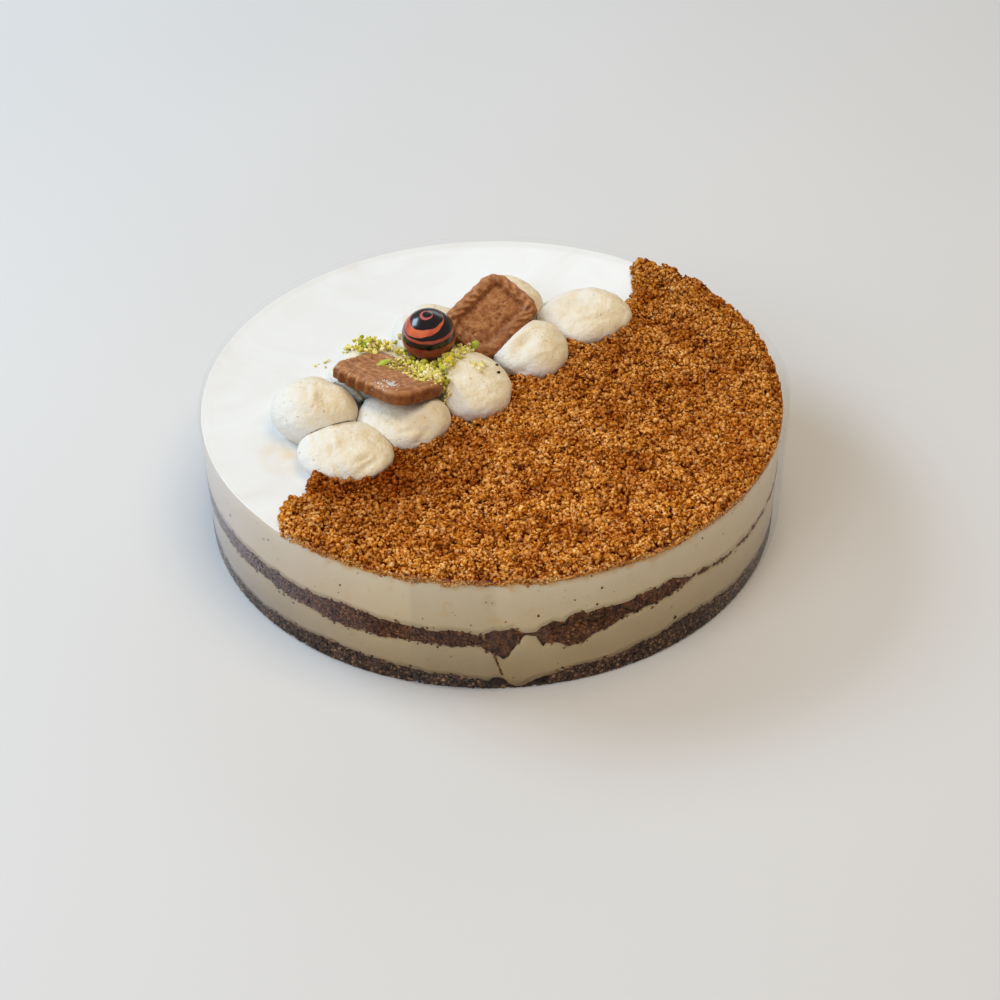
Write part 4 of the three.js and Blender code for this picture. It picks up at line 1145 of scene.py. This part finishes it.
def cream_lip():
    """The soft roll of cream that swells out under the left biscuit."""
    share = np.linspace(0, len(CREAM_LIP) - 1, LIP_ROWS)
    columns = []
    for values in np.array(CREAM_LIP).T:
        spread = np.pad(np.interp(share, np.arange(len(values)), values), LIP_EASE, mode="edge")
        window = 2 * LIP_EASE + 1
        columns.append(np.convolve(spread, np.ones(window) / window, "valid"))
    spots = np.stack(columns, axis=-1)[:, None]
    way = unit(np.gradient(spots[..., :3], axis=0))
    side = unit(np.cross(way, (0, 0, 1)))
    turn = full_turn(LIP_SEGMENTS)[:, None]
    around = side * np.cos(turn) + np.cross(side, way) * np.sin(turn)
    points = spots[..., :3] + spots[..., 3:] * around
    points = points + layered_noise(points, [(4, 0.25), (2, 0.12)], 291)[..., None] * around
    points = pushed_off_mound(points.reshape(-1, 3), CREAMS["back_1"], CONTACT_GAP)
    points = pushed_off_biscuit(points, BISCUITS["left"], CONTACT_GAP)
    points, faces = stacked(points.reshape(LIP_ROWS, LIP_SEGMENTS, 3))
    make_piece("cream_lip", points, facing_out(points, faces), [piped_material])


mound_pieces()
cream_lip()


# Crumbs on top

def border_across(along):
    """Where the crumbs' border lies, with its fray."""
    fray = 1.2 * np.sin(along * 1.7) * np.cos(along * 0.61) + 0.8 * np.sin(along * 0.83 + 1)
    return eased_value(CRUMB_EDGE, along) + fray


def past_border(x, y):
    """How far spots lie past the crumbs' frayed border."""
    along, across = border_turned(x, y)
    return across - border_across(along)


def under_mound(cream, x, y):
    """Height of a mound's underside over a spot, and how far the spot is out from its edge."""
    along, across, _ = mound_frame(cream, spots_at(x, y))
    wide, deep = mound_reach(cream, along, across, 0.4)
    away = np.hypot(along / wide, across / deep)
    hang = cream["lower"] * np.sqrt(np.clip(1 - away ** 2, 0, 1))
    return CREAM_FOOT + cream["belly"] - hang, (away - 1) * cream["reach"][0]


def crumb_height(x, y):
    """Height of the crumbs' surface over a spot, without the grains that lie on it."""
    spots = spots_at(x, y)
    along, across = border_turned(x, y)
    from_edge = across - eased_value(CRUMB_EDGE, along)
    from_collar = CRUMB_OUTER_RADIUS - np.hypot(x, y)
    heap = sum(rise * np.exp(-((x - at_x) ** 2 + (y - at_y) ** 2) / reach ** 2)
               for at_x, at_y, reach, rise in CRUMB_HEAPS)
    settled = CRUMB_DEPTH - CRUMB_DIP * (1 - smooth_step(0, CRUMB_DIP_WIDTH, from_collar))
    level = CRUMB_FOOT + (settled - CRUMB_FOOT) * smooth_step(0, CRUMB_SLOPE, from_edge) + heap
    roughness = 1 + 0.5 * value_noise(spots, 16, 305)
    relief = layered_noise(spots, [(13, 0.7), (6, 0.8)], 301) + roughness * packed_bumps(spots, CRUMB_CELLS)
    height = CRUMB_FLOOR + np.maximum((level + relief) * smooth_step(-0.8, 1.8, from_edge), 0)
    for cream in CREAMS.values():
        under, beyond = under_mound(cream, x, y)
        height = height + CRUMB_BANK * np.exp(-np.clip(beyond, 0, 20) ** 2 / CRUMB_BANK_REACH ** 2)
        height = np.where(beyond < 0, np.minimum(height, np.maximum(under - 0.2, CRUMB_FLOOR + 0.1)), height)
    return height


def crumb_bed():
    """The crumbs' relief as one closed slab."""
    share = np.linspace(-1, 1, BED_COLUMNS)
    along = CRUMB_REACH * (0.4 * share + 0.6 * np.sin(share * np.pi / 2))
    near, far = border_across(along), np.sqrt(CRUMB_OUTER_RADIUS ** 2 - along ** 2)
    across = near + (far - near) * np.linspace(0, 1, BED_ROWS)[:, None]
    x, y = (part.ravel() for part in border_turned(along, across))
    height = crumb_height(x, y) + packed_bumps(spots_at(x, y), BED_CELLS)
    index = np.arange(len(x)).reshape(BED_ROWS, BED_COLUMNS)
    loop = np.concatenate([index[0, :-1], index[:-1, -1], index[-1, :0:-1], index[:0:-1, 0]])
    floor = MOUSSE_TOP - 0.3
    points = np.concatenate([spots_at(x, y, np.maximum(height, CRUMB_FLOOR + 0.05)),
                             spots_at(x[loop], y[loop], floor), [spots_at(*border_turned(0, 60), floor)]])
    floor_loop = len(x) + np.arange(len(loop))
    wall = np.concatenate([loop, floor_loop])[grid_faces(2, len(loop), closed=True)]
    faces = np.concatenate([grid_faces(BED_ROWS, BED_COLUMNS)[:, ::-1], wall,
                            fan_faces(floor_loop, len(points) - 1)])
    piece = make_piece("crumb_bed", points, facing_out(points, faces), [bed_material])
    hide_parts("crumb_topping")


crumb_bed()


# Small shapes, scattered in numbers

def ball_shape(levels):
    """A round shape of even triangles: 20, and four times as many for each level."""
    far = GOLDEN_RATIO
    points = list(unit(np.array([
        (-1, far, 0), (1, far, 0), (-1, -far, 0), (1, -far, 0), (0, -1, far), (0, 1, far),
        (0, -1, -far), (0, 1, -far), (far, 0, -1), (far, 0, 1), (-far, 0, -1), (-far, 0, 1)])))
    faces = [(0, 11, 5), (0, 5, 1), (0, 1, 7), (0, 7, 10), (0, 10, 11), (1, 5, 9), (5, 11, 4), (11, 10, 2),
             (10, 7, 6), (7, 1, 8), (3, 9, 4), (3, 4, 2), (3, 2, 6), (3, 6, 8), (3, 8, 9), (4, 9, 5),
             (2, 4, 11), (6, 2, 10), (8, 6, 7), (9, 8, 1)]
    for _ in range(levels):
        middles = {}
        finer = []
        for triangle in faces:
            between = []
            for first, second in zip(triangle, (*triangle[1:], triangle[0])):
                key = (min(first, second), max(first, second))
                if key not in middles:
                    middles[key] = len(points)
                    points.append(unit(points[first] + points[second]))
                between.append(middles[key])
            finer += [(corner, between[order], between[order - 1]) for order, corner in enumerate(triangle)]
            finer.append(tuple(between))
        faces = finer
    return np.array(points), np.array(faces)


def chip_shape():
    """The plainest round shape, with eight triangles."""
    points = np.array([(1, 0, 0), (0, 1, 0), (-1, 0, 0), (0, -1, 0), (0, 0, 1), (0, 0, -1)], float)
    pairs = [(start, (start + 1) % 4) for start in range(4)]
    return points, np.array([(*pair, 4) for pair in pairs] + [(*pair[::-1], 5) for pair in pairs])


def random_turns(rng, count):
    """Even random rotations as matrices."""
    w, x, y, z = unit(rng.normal(size=(count, 4))).T
    return np.stack([
        spots_at(1 - 2 * (y * y + z * z), 2 * (x * y - z * w), 2 * (x * z + y * w)),
        spots_at(2 * (x * y + z * w), 1 - 2 * (x * x + z * z), 2 * (y * z - x * w)),
        spots_at(2 * (x * z - y * w), 2 * (y * z + x * w), 1 - 2 * (x * x + y * y)),
    ], axis=1)


def scattered(name, shapes, shape_faces, centres, radii, rng, material, smooth=True):
    """Many small shapes turned at random, as one piece, pressed flat where they meet the collar."""
    points = np.einsum("nij,nkj->nki", random_turns(rng, len(shapes)), shapes)
    points = points * radii[:, None, None] + centres[:, None]
    away = np.hypot(points[..., 0], points[..., 1])
    points[..., :2] *= np.minimum(GRAIN_LIMIT / np.maximum(away, 1), 1)[..., None]
    faces = shape_faces[None] + (np.arange(len(shapes)) * shapes.shape[1])[:, None, None]
    return make_piece(name, points.reshape(-1, 3), faces.reshape(-1, 3), [material], smooth)


def grain_piece(name, centres, radii, shape, material, seed, rough, stretch):
    """Uneven grains."""
    rng = np.random.default_rng(seed)
    points, faces = shape
    shapes = points[None] * (1 + rough * rng.uniform(-1, 1, (len(centres), len(points), 1)))
    shapes = shapes * rng.uniform(*stretch, (len(centres), 1, 3))
    return scattered(name, shapes, faces, centres, radii, rng, material)


def chopped_piece(name, centres, radii, material, seed):
    """Chopped bits with flat cuts."""
    rng = np.random.default_rng(seed)
    points, faces = ball_shape(1)
    count = len(centres)
    shapes = points[None] * rng.uniform(0.7, 1.25, (count, 1, 3))
    for _ in range(5):
        way = unit(rng.normal(size=(count, 1, 3)))
        cut = rng.uniform(0.45, 0.7, (count, 1, 1))
        shapes = shapes - np.clip((shapes * way).sum(axis=2, keepdims=True) - cut, 0, None) * way
    shapes = shapes * (1 + 0.05 * rng.uniform(-1, 1, (count, len(points), 1)))
    return scattered(name, shapes, faces, centres, radii, rng, material, smooth=False)


def jittered(rng, first, second, sway):
    """A grid of places, each moved at random by up to half a sway."""
    grid = np.meshgrid(first, second, indexing="ij")
    return [part + reach * rng.uniform(-0.5, 0.5, part.shape) for part, reach in zip(grid, sway)]


# Loose crumbs on top

def spread_spots(spacing, seed, margin, rim):
    """Even, seeded spots over the crumbed half; margin may reach past its border."""
    rng = np.random.default_rng(seed)
    along, across = jittered(rng, np.arange(-132, 132, spacing), np.arange(-26, 132, spacing * 0.87),
                             (spacing, spacing))
    x, y = border_turned(along, across)
    kept = (np.abs(along) < CRUMB_REACH) & (across > border_across(along) + margin)
    kept &= np.hypot(x, y) < CRUMB_OUTER_RADIUS - rim
    return x[kept], y[kept], rng


def clear_of_cream(centres, radii):
    """Which grains lie outside every mound."""
    clear = np.ones(len(centres), bool)
    for cream in CREAMS.values():
        clear &= mound_depth(cream, centres, 0.0)[0] > 1 + 0.3 * radii / min(cream["reach"])
    return clear


def topping_grains(name, centres, radii, kept, seed, shape=None, rough=0.2, stretch=(0.75, 1.15)):
    """The grains that are kept, as one piece of the topping."""
    shape = shape or ball_shape(0)
    piece = grain_piece(name, centres[kept], radii[kept], shape, topping_material, seed, rough, stretch)


def crumb_grains(name, spacing, sizes, seed, margin, proud, rough):
    """A layer of grains on the crumbs' surface; sizes and proud are ranges."""
    x, y, rng = spread_spots(spacing, seed, margin, -0.2)
    radii = 0.5 * (sizes[0] + (sizes[1] - sizes[0]) * rng.uniform(0, 1, len(x)) ** 2)
    radii = np.minimum(radii, (GRAIN_LIMIT - np.hypot(x, y)) / GRAIN_STRETCH[1])
    centres = spots_at(x, y, crumb_height(x, y) + radii * rng.uniform(*proud, len(x)))
    kept = clear_of_cream(centres, radii)
    topping_grains(name, centres, radii, kept, seed + 1, None, rough, GRAIN_STRETCH)


def crumb_clusters():
    """Clumps of grains that stick together, closest along the border."""
    x, y, rng = spread_spots(5.2, 431, 0.2, 1.6)
    near_border = past_border(x, y) < 9
    chosen = (rng.uniform(0, 1, len(x)) < 0.4) | near_border
    x, y = x[chosen, None], y[chosen, None]
    shape = (len(x), CLUMP_GRAINS)
    size = (rng.uniform(0.9, 1.9, len(x)) * np.where(near_border[chosen], 1.4, 1.0))[:, None]
    turn = rng.uniform(0, 2 * np.pi, shape)
    reach = size * np.sqrt(rng.uniform(0, 1, shape)) * 1.25
    rise = size * rng.uniform(0.1, 1.0, shape) * (1 - 0.35 * reach / size)
    x, y = (x + reach * np.cos(turn)).ravel(), (y + reach * np.sin(turn)).ravel()
    radii = (size * rng.uniform(0.38, 0.62, shape)).ravel()
    centres = spots_at(x, y, crumb_height(x, y) + rise.ravel())
    kept = (np.hypot(x, y) < CRUMB_OUTER_RADIUS - 1) & clear_of_cream(centres, radii)
    topping_grains("crumbs_clustered", centres, radii, kept, 433)


def crumb_lumps():
    """Larger solid lumps of crumb, spread thinly."""
    x, y, rng = spread_spots(14, 441, 1.5, 3.0)
    radii = rng.uniform(1.2, 2.0, len(x))
    centres = spots_at(x, y, crumb_height(x, y) + 0.1 * radii)
    kept = clear_of_cream(centres, 3 * radii)
    topping_grains("crumb_lumps", centres, radii, kept, 443, ball_shape(1), 0.16, (0.65, 1.15))


crumb_grains("crumbs_medium", 2.3, (1.2, 3.4), 401, -0.9, (-0.5, 0.7), 0.4)
crumb_grains("crumbs_fine", 2.0, (1.0, 2.2), 411, -0.8, (-0.2, 1.3), 0.36)
crumb_clusters()
crumb_lumps()


# Crumb grains that show at the side

def border_round(border, degrees):
    """Height of a border between layers in any directions."""
    return np.interp(degrees % 360, degrees_round, border_height(border), period=360)


def side_grain_piece(name, degrees, heights, radii, material, seed):
    """Grains pressed against the collar."""
    centres = round_spots(GRAIN_LIMIT - 0.15 * radii, degrees, np.maximum(heights, radii))
    piece = grain_piece(name, centres, radii, chip_shape(), material, seed, 0.2, (0.8, 1.2))


def layer_grains(name, border_low, border_high, material, seed):
    """Grains of a pressed layer, a few of them strayed past its borders."""
    rng = np.random.default_rng(seed)
    degrees, heights = jittered(rng, np.arange(-180, 180, SIDE_STEPS[0]), np.arange(0.3, 42, SIDE_STEPS[1]),
                                SIDE_STEPS)
    fray = rng.exponential(0.45, heights.shape) - 0.1
    kept = (heights > border_round(border_low, degrees) - fray)
    kept &= (heights < border_round(border_high, degrees) + fray)
    kept &= hollow_share(round_spots(1.0, degrees, heights)) < 0.2
    degrees, heights = degrees[kept], heights[kept]
    radii = rng.uniform(0.4, 1.25, len(degrees))
    side_grain_piece(name, degrees, heights, radii, material, seed + 1)


def topping_side_grains():
    """The topping's grains that show at the collar."""
    rng = np.random.default_rng(621)
    degrees, levels = np.meshgrid(np.arange(EDGE_DIRECTION - 185, EDGE_DIRECTION + 5, 0.4), np.arange(4),
                                  indexing="ij")
    degrees = (degrees + rng.uniform(-0.25, 0.25, degrees.shape)).ravel()
    radii = rng.uniform(0.35, 0.8, len(degrees))
    spots = round_spots(CRUMB_OUTER_RADIUS - 0.6, degrees)
    x, y, _ = spots.T
    sag = layered_noise(spots, [(9, 1.3), (3.2, 1.1)], 627)
    bottoms = MOUSSE_TOP + 0.2 - np.clip(sag, 0, 2.0) - rng.exponential(0.15, len(degrees))
    shares = (levels.ravel() + rng.uniform(0, 1, len(degrees))) / 4
    heights = bottoms + (crumb_height(x, y) + 0.2 - bottoms) * shares
    kept = past_border(x, y) > 0.6
    side_grain_piece("topping_side_grains", degrees[kept], heights[kept], radii[kept],
                     rim_material, 623)


def mousse_specks():
    """Crumbs strayed into the mousse at the side, and the thin crack under the middle layer's lump."""
    rng = np.random.default_rng(611)
    degrees = rng.uniform(-180, 180, SPECK_COUNT)
    heights = rng.uniform(3, 55, SPECK_COUNT)
    radii = 0.16 + 0.3 * rng.uniform(0, 1, SPECK_COUNT) ** 3
    places, levels, sizes = np.array(SIDE_SPECKS).T
    crack, crack_heights = np.linspace(*CRACK_ENDS, CRACK_GRAINS).T
    degrees = np.concatenate([degrees, places, crack + rng.normal(0, 0.06, CRACK_GRAINS)])
    heights = np.concatenate([heights, levels, crack_heights])
    radii = np.concatenate([radii, sizes, rng.uniform(0.35, 0.8, CRACK_GRAINS)])
    side_grain_piece("mousse_specks", degrees, heights, radii, middle_grain_material, 613)


layer_grains("base_side_grains", None, "base", base_grain_material, 601)
layer_grains("middle_side_grains", "middle_low", "middle_high", middle_grain_material, 605)
topping_side_grains()
mousse_specks()


# Biscuits

def rounded_outline(width, length, corner, shares):
    """Points on a rounded rectangle by their share of the way round."""
    straight = (length - 2 * corner, width - 2 * corner)
    quarter = math.pi * corner / 2
    rest = (shares % 1) * (2 * sum(straight) + 4 * quarter)
    spots = np.zeros((len(shares), 2))
    done = np.zeros(len(shares), bool)
    for side in range(4):
        run, reach = straight[side % 2], (width, length)[side % 2] / 2
        bend = np.clip((rest - run) / corner, 0, math.pi / 2)
        x = reach - corner + corner * np.cos(bend)
        y = np.minimum(rest, run) - run / 2 + corner * np.sin(bend)
        chosen = ~done & (rest <= run + quarter)
        spots[chosen] = np.stack(turned(x, y, side * math.pi / 2), axis=-1)[chosen]
        done |= chosen
        rest = rest - run - quarter
    return spots


def biscuit_rings(bevel, recess):
    """Rings of a biscuit as (inset, height, part), from under its middle to over it."""
    half = BISCUIT_THICKNESS / 2
    field_start, field_end = FIELD_STEP
    rings = [(inset, -half, "under") for inset in UNDER_INSETS]
    for turn in np.linspace(0, math.pi / 2, 5):
        rings.append((UNDER_BEVEL * (1 - math.sin(turn)), UNDER_BEVEL * (1 - math.cos(turn)) - half, "side"))
    for height in np.linspace(UNDER_BEVEL - half, half - bevel, 7)[1:-1]:
        rings.append((0.0, height, "side"))
    for turn in np.linspace(0, math.pi / 2, 6):
        rings.append((bevel * (1 - math.cos(turn)), half - bevel * (1 - math.sin(turn)), "side"))
    for inset in np.linspace(bevel, field_start, 9)[1:]:
        rings.append((inset, half, "border"))
    for inset in np.linspace(field_start, field_end, 6)[1:]:
        rings.append((inset, half - recess * smooth_step(field_start, field_end, inset), "field"))
    for inset in np.linspace(field_end, 15.0, 14)[1:]:
        rise = 0.45 * smooth_step(field_end, field_end + 3.0, inset)
        rings.append((inset, half - recess * (1 - rise), "field"))
    return rings


def face_relief(biscuit, points, inset, part, ridges):
    """How far a ring on a biscuit's upper face rises: its ridges, grooves and pores."""
    border = smooth_step(biscuit["bevel"] - 0.8, 3, inset) * smooth_step(BISCUIT_BORDER + 0.4, 4.4, inset)
    wander = 0.8 * value_noise(points, 14, biscuit["seed"] + 9)
    lines = biscuit["grooves"] * np.cos(2 * np.pi * points[:, 0] / GROOVE_PITCH + 3 * wander)
    relief = biscuit["ridge"] * ridges * border + lines * smooth_step(-8, 12, points[:, 1])
    if part == "border":
        return relief + 0.45 * math.sin(math.pi * min(inset / BISCUIT_BORDER, 1))
    pores = np.clip(cell_bumps(points, 3.1, biscuit["seed"] + 5) - 0.86, 0, 1) / 0.14
    return relief - 0.35 * pores


def biscuit_piece(name, biscuit):
    """A baked biscuit with a scalloped, ridged border round a lower field."""
    length = biscuit["length"]
    around = 2 * (BISCUIT_WIDTH + length) - (8 - 2 * math.pi) * BISCUIT_CORNER
    scallops = round(around / SCALLOP_PITCH)
    shares = np.arange(SCALLOP_STEPS * scallops) / (SCALLOP_STEPS * scallops)
    wave = np.cos(2 * np.pi * scallops * shares)
    ridges = np.cos(2 * np.pi * scallops * shares + 0.8 * np.sin(7 * shares * np.pi))
    outline = rounded_outline(BISCUIT_WIDTH, length, BISCUIT_CORNER, shares)
    uneven = 0.15 + 0.95 * smooth_step(-12, 2, outline[:, 1])
    rings = []
    for inset, height, part in biscuit_rings(biscuit["bevel"], biscuit["recess"]):
        fade = max(1 - inset / (BISCUIT_BORDER - 1), 0)
        corner = min(max(BISCUIT_CORNER - inset, 2.4), (BISCUIT_WIDTH - 2 * inset) / 2)
        spots = rounded_outline(BISCUIT_WIDTH - 2 * inset, length - 2 * inset, corner, shares)
        ahead_x, ahead_y = (spots - np.roll(spots, 1, axis=0)).T
        step = np.maximum(np.hypot(ahead_x, ahead_y), 1e-9)
        points = spots_at(*spots.T, height)
        grain = layered_noise(points, CRUST_LAYERS, biscuit["seed"])
        push = biscuit["scallop"] * fade * (wave - 0.35 * (1 - np.abs(wave))) * uneven
        push = push + 0.8 * grain * (part == "side")
        points = points + spots_at(push * ahead_y / step, -push * ahead_x / step)
        if part == "under":
            points[:, 2] -= grain
        elif part != "side":
            points[:, 2] += grain + face_relief(biscuit, points, inset, part, ridges)
        rings.append(points)
    points, faces = stacked(rings)
    axes, middle = biscuit_place(biscuit)
    piece = make_piece(f"baked_biscuit_{name}", points @ axes.T + middle, facing_out(points, faces),
                       [biscuit_surface])
    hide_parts(f"biscuit_{name}")


for biscuit_name, biscuit_values in BISCUITS.items():
    biscuit_piece(biscuit_name, biscuit_values)


# Chocolate ball

def ball_piece():
    """A moulded ball, a little uneven, with a flat where it sits."""
    turn = full_turn(BALL_SEGMENTS)
    rings = []
    for latitude in np.radians(np.linspace(-88, 88, BALL_ROWS)):
        wide = math.cos(latitude)
        ring = spots_at(wide * np.cos(turn), wide * np.sin(turn), math.sin(latitude))
        ring = ring * (1 + 0.006 * value_noise(ring * 10, 7, 71))[:, None] * BALL_RADIUS
        ring[:, 2] = np.maximum(ring[:, 2], -BALL_FLAT * BALL_RADIUS)
        rings.append(ring + BALL_AT)
    points, faces = stacked(rings, top=rings[-1].mean(axis=0) + (0, 0, 0.004))
    piece = make_piece("marbled_ball", points, faces, [marbled_material])
    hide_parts("chocolate_ball")


ball_piece()


# Chopped pistachio and stray bits

def surface_height(x, y):
    """Height of what lies highest under a spot: biscuit, cream or the bare top."""
    height = np.full_like(x, MOUSSE_TOP)
    for cream in CREAMS.values():
        along, across, _ = mound_frame(cream, spots_at(x, y))
        away = np.hypot(along / cream["reach"][0], across / cream["reach"][1])
        over = CREAM_FOOT + cream["belly"] + cream["upper"] * np.sqrt(np.clip(1 - away ** 2, 0, 1))
        height = np.where(away < 0.98, np.maximum(height, over), height)
    for biscuit in BISCUITS.values():
        axes, middle = biscuit_place(biscuit)
        face = axes[:, 2]
        over = middle + face * BISCUIT_THICKNESS / 2
        plane = over[2] - ((x - over[0]) * face[0] + (y - over[1]) * face[1]) / face[2]
        local = (spots_at(x, y, plane) - middle) @ axes
        distance, _, _ = outline_distance(local[:, 0], local[:, 1], biscuit["length"])
        height = np.where(distance < -0.6, plane, height)
    return height


def nut_pieces():
    """Pistachio bits in their patches, some of them on top of others."""
    rng = np.random.default_rng(501)
    spots, sizes = [], []
    for x, y, spread, count, layers, least in NUT_PATCHES:
        count = round(NUT_PLENTY * count)
        for order in range(count):
            turn = GOLDEN_ANGLE * order + rng.uniform(0, 1)
            away = spread * math.sqrt((order + 0.5) / count)
            size = 0.65 + 0.95 * rng.uniform(0, 1) ** 2
            level = rng.integers(0, layers) * 1.3
            spots.append((x + away * math.cos(turn), y + away * math.sin(turn), level + 0.35 * size, least))
            sizes.append(size)
    x, y, rise, least = np.array(spots).T
    centres = pushed_off_ball(spots_at(x, y, rise + np.maximum(surface_height(x, y), least)), 0.7)
    chopped_piece("pistachio_bits", centres, np.array(sizes), pistachio_material, 503)
    for name, bits, material in (("green", GREEN_NUTS, green_nut_material),
                                 ("gold", GOLD_NUTS, gold_nut_material)):
        *centres, sizes = np.array(bits).T
        chopped_piece(f"pistachio_{name}_bits", spots_at(*centres), sizes, material, 505)


def on_left_biscuit(x, y):
    """Points on the left biscuit's upper face from its own directions, down over its rounded edge."""
    distance, _, _ = outline_distance(x, y, BISCUITS["left"]["length"])
    bevel = BISCUITS["left"]["bevel"]
    past = np.clip(distance + bevel, 0, bevel)
    height = BISCUIT_THICKNESS / 2 - bevel + np.sqrt(bevel ** 2 - past ** 2)
    axes, middle = biscuit_place(BISCUITS["left"])
    return spots_at(x, y, height) @ axes.T + middle


def nut_dust_piece():
    """Fine pistachio along the right edge of the left biscuit, thinning out over its face."""
    rng = np.random.default_rng(531)
    along = rng.uniform(*NUT_DUST_ALONG, NUT_DUST_COUNT)
    across = NUT_DUST_EDGE - NUT_DUST_REACH * rng.uniform(0, 1, NUT_DUST_COUNT) ** 1.3
    kept = outline_distance(across, along, BISCUITS["left"]["length"])[0] < -0.2
    centres = on_left_biscuit(across[kept], along[kept])
    radii = 0.3 + 0.5 * rng.uniform(0, 1, len(centres)) ** 2
    chopped_piece("pistachio_dust", centres, radii, pistachio_material, 533)


def sliver_piece():
    """One long pointed sliver of pistachio on the left biscuit."""
    points, faces = ball_shape(2)
    taper = 1 - 0.45 * np.abs(points[:, 0])
    points = spots_at(points[:, 0], points[:, 1] * taper, points[:, 2] * taper) * SLIVER_REACH
    across_x, across_y = turned(1, 0, math.radians(SLIVER_TURN))
    spread = np.array([[across_x, across_y, SLIVER_RISE], [-across_y, across_x, 0], [0, 0, 1]])
    middle = on_left_biscuit(*SLIVER_AT) + (0, 0, 0.5 * SLIVER_REACH[2])
    make_piece("pistachio_sliver", points @ spread + middle, faces, [green_nut_material])


def sugar_pieces():
    """Pale sugar on the left biscuit's edge."""
    material = speckled_material("sugar", 0.3, 0.9, 2.0, SUGAR_TONES, specular_ior_level=0.6)
    rng = np.random.default_rng(521)
    spots = np.array(SUGAR_AT) + rng.normal(0, 0.6, (SUGAR_COUNT, 2)) * SUGAR_SPREAD
    radii = rng.uniform(0.25, 0.65, SUGAR_COUNT)
    centres = on_left_biscuit(*spots.T)
    grain_piece("sugar_grains", centres, radii, chip_shape(), material, 523, 0.25, (0.6, 1.2))


def fleck_pieces():
    """Dark flecks on the cream."""
    material = speckled_material("dark_fleck", 0.6, 0.8, 2.0, FLECK_TONES)
    x, y, sizes = np.array(DARK_FLECKS).T
    chopped_piece("dark_flecks", spots_at(x, y, surface_height(x, y) + 0.1), sizes, material, 511)


nut_pieces()
nut_dust_piece()
sliver_piece()
sugar_pieces()
fleck_pieces()


# Floor, light and camera

def floor_piece():
    """A plain pale floor."""
    mesh = bpy.data.meshes.new("floor")
    mesh.from_pydata([(-4, -4, 0), (4, -4, 0), (4, 4, 0), (-4, 4, 0)], [], [(0, 1, 2, 3)])
    mesh.materials.append(speckled_material("pale_floor", 0.7, 300, 1.0, FLOOR_TONES))
    floor = bpy.data.objects.new("floor", mesh)
    bpy.context.scene.collection.objects.link(floor)


def area_light(name, at, size, power, tint, mirrored):
    """A soft rectangular light turned to the cake, in metres and watts; mirrored if gloss shows it."""
    data = bpy.data.lights.new(name, "AREA")
    data.shape = "RECTANGLE"
    data.size, data.size_y = size
    data.energy = power
    data.color = tint
    light = bpy.data.objects.new(name, data)
    light.location = at
    light.visible_glossy = mirrored
    light.rotation_euler = (Vector(LIT_SPOT) - Vector(at)).to_track_quat("-Z", "Y").to_euler()
    bpy.context.scene.collection.objects.link(light)


floor_piece()
area_light("window_left_back", (-1.32, 0.62, 1.15), (0.9, 0.6), 18.5, (0.64, 0.83, 1.0), True)
area_light("window_back", (0.45, 1.5, 0.95), (1.1, 0.6), 4, (0.8, 0.9, 1.0), True)
area_light("ceiling", (0.35, -0.15, 1.6), (1.0, 1.0), 11, (1.0, 0.79, 0.53), False)
area_light("front_fill", (-0.95, -0.95, 1.15), (0.9, 0.9), 10, (0.84, 0.92, 1.0), False)

world = bpy.data.worlds.new("studio")
bpy.context.scene.world = world
world.use_nodes = True
world.node_tree.nodes["Background"].inputs["Color"].default_value = (1.0, 0.94, 0.84, 1.0)
world.node_tree.nodes["Background"].inputs["Strength"].default_value = 0.27

camera_data = bpy.data.cameras.new("camera")
camera_data.sensor_width = CAMERA_SENSOR
camera_data.lens = CAMERA_LENS
camera = bpy.data.objects.new("camera", camera_data)
camera_turn = Matrix((CAMERA_RIGHT, CAMERA_UP, CAMERA_RIGHT.cross(CAMERA_UP))).transposed()
camera.matrix_world = Matrix.Translation(CAMERA_AT) @ camera_turn.to_4x4()
bpy.context.scene.collection.objects.link(camera)
bpy.context.scene.camera = camera
bpy.context.scene.view_settings.view_transform = "Standard"

bpy.context.view_layer.update()
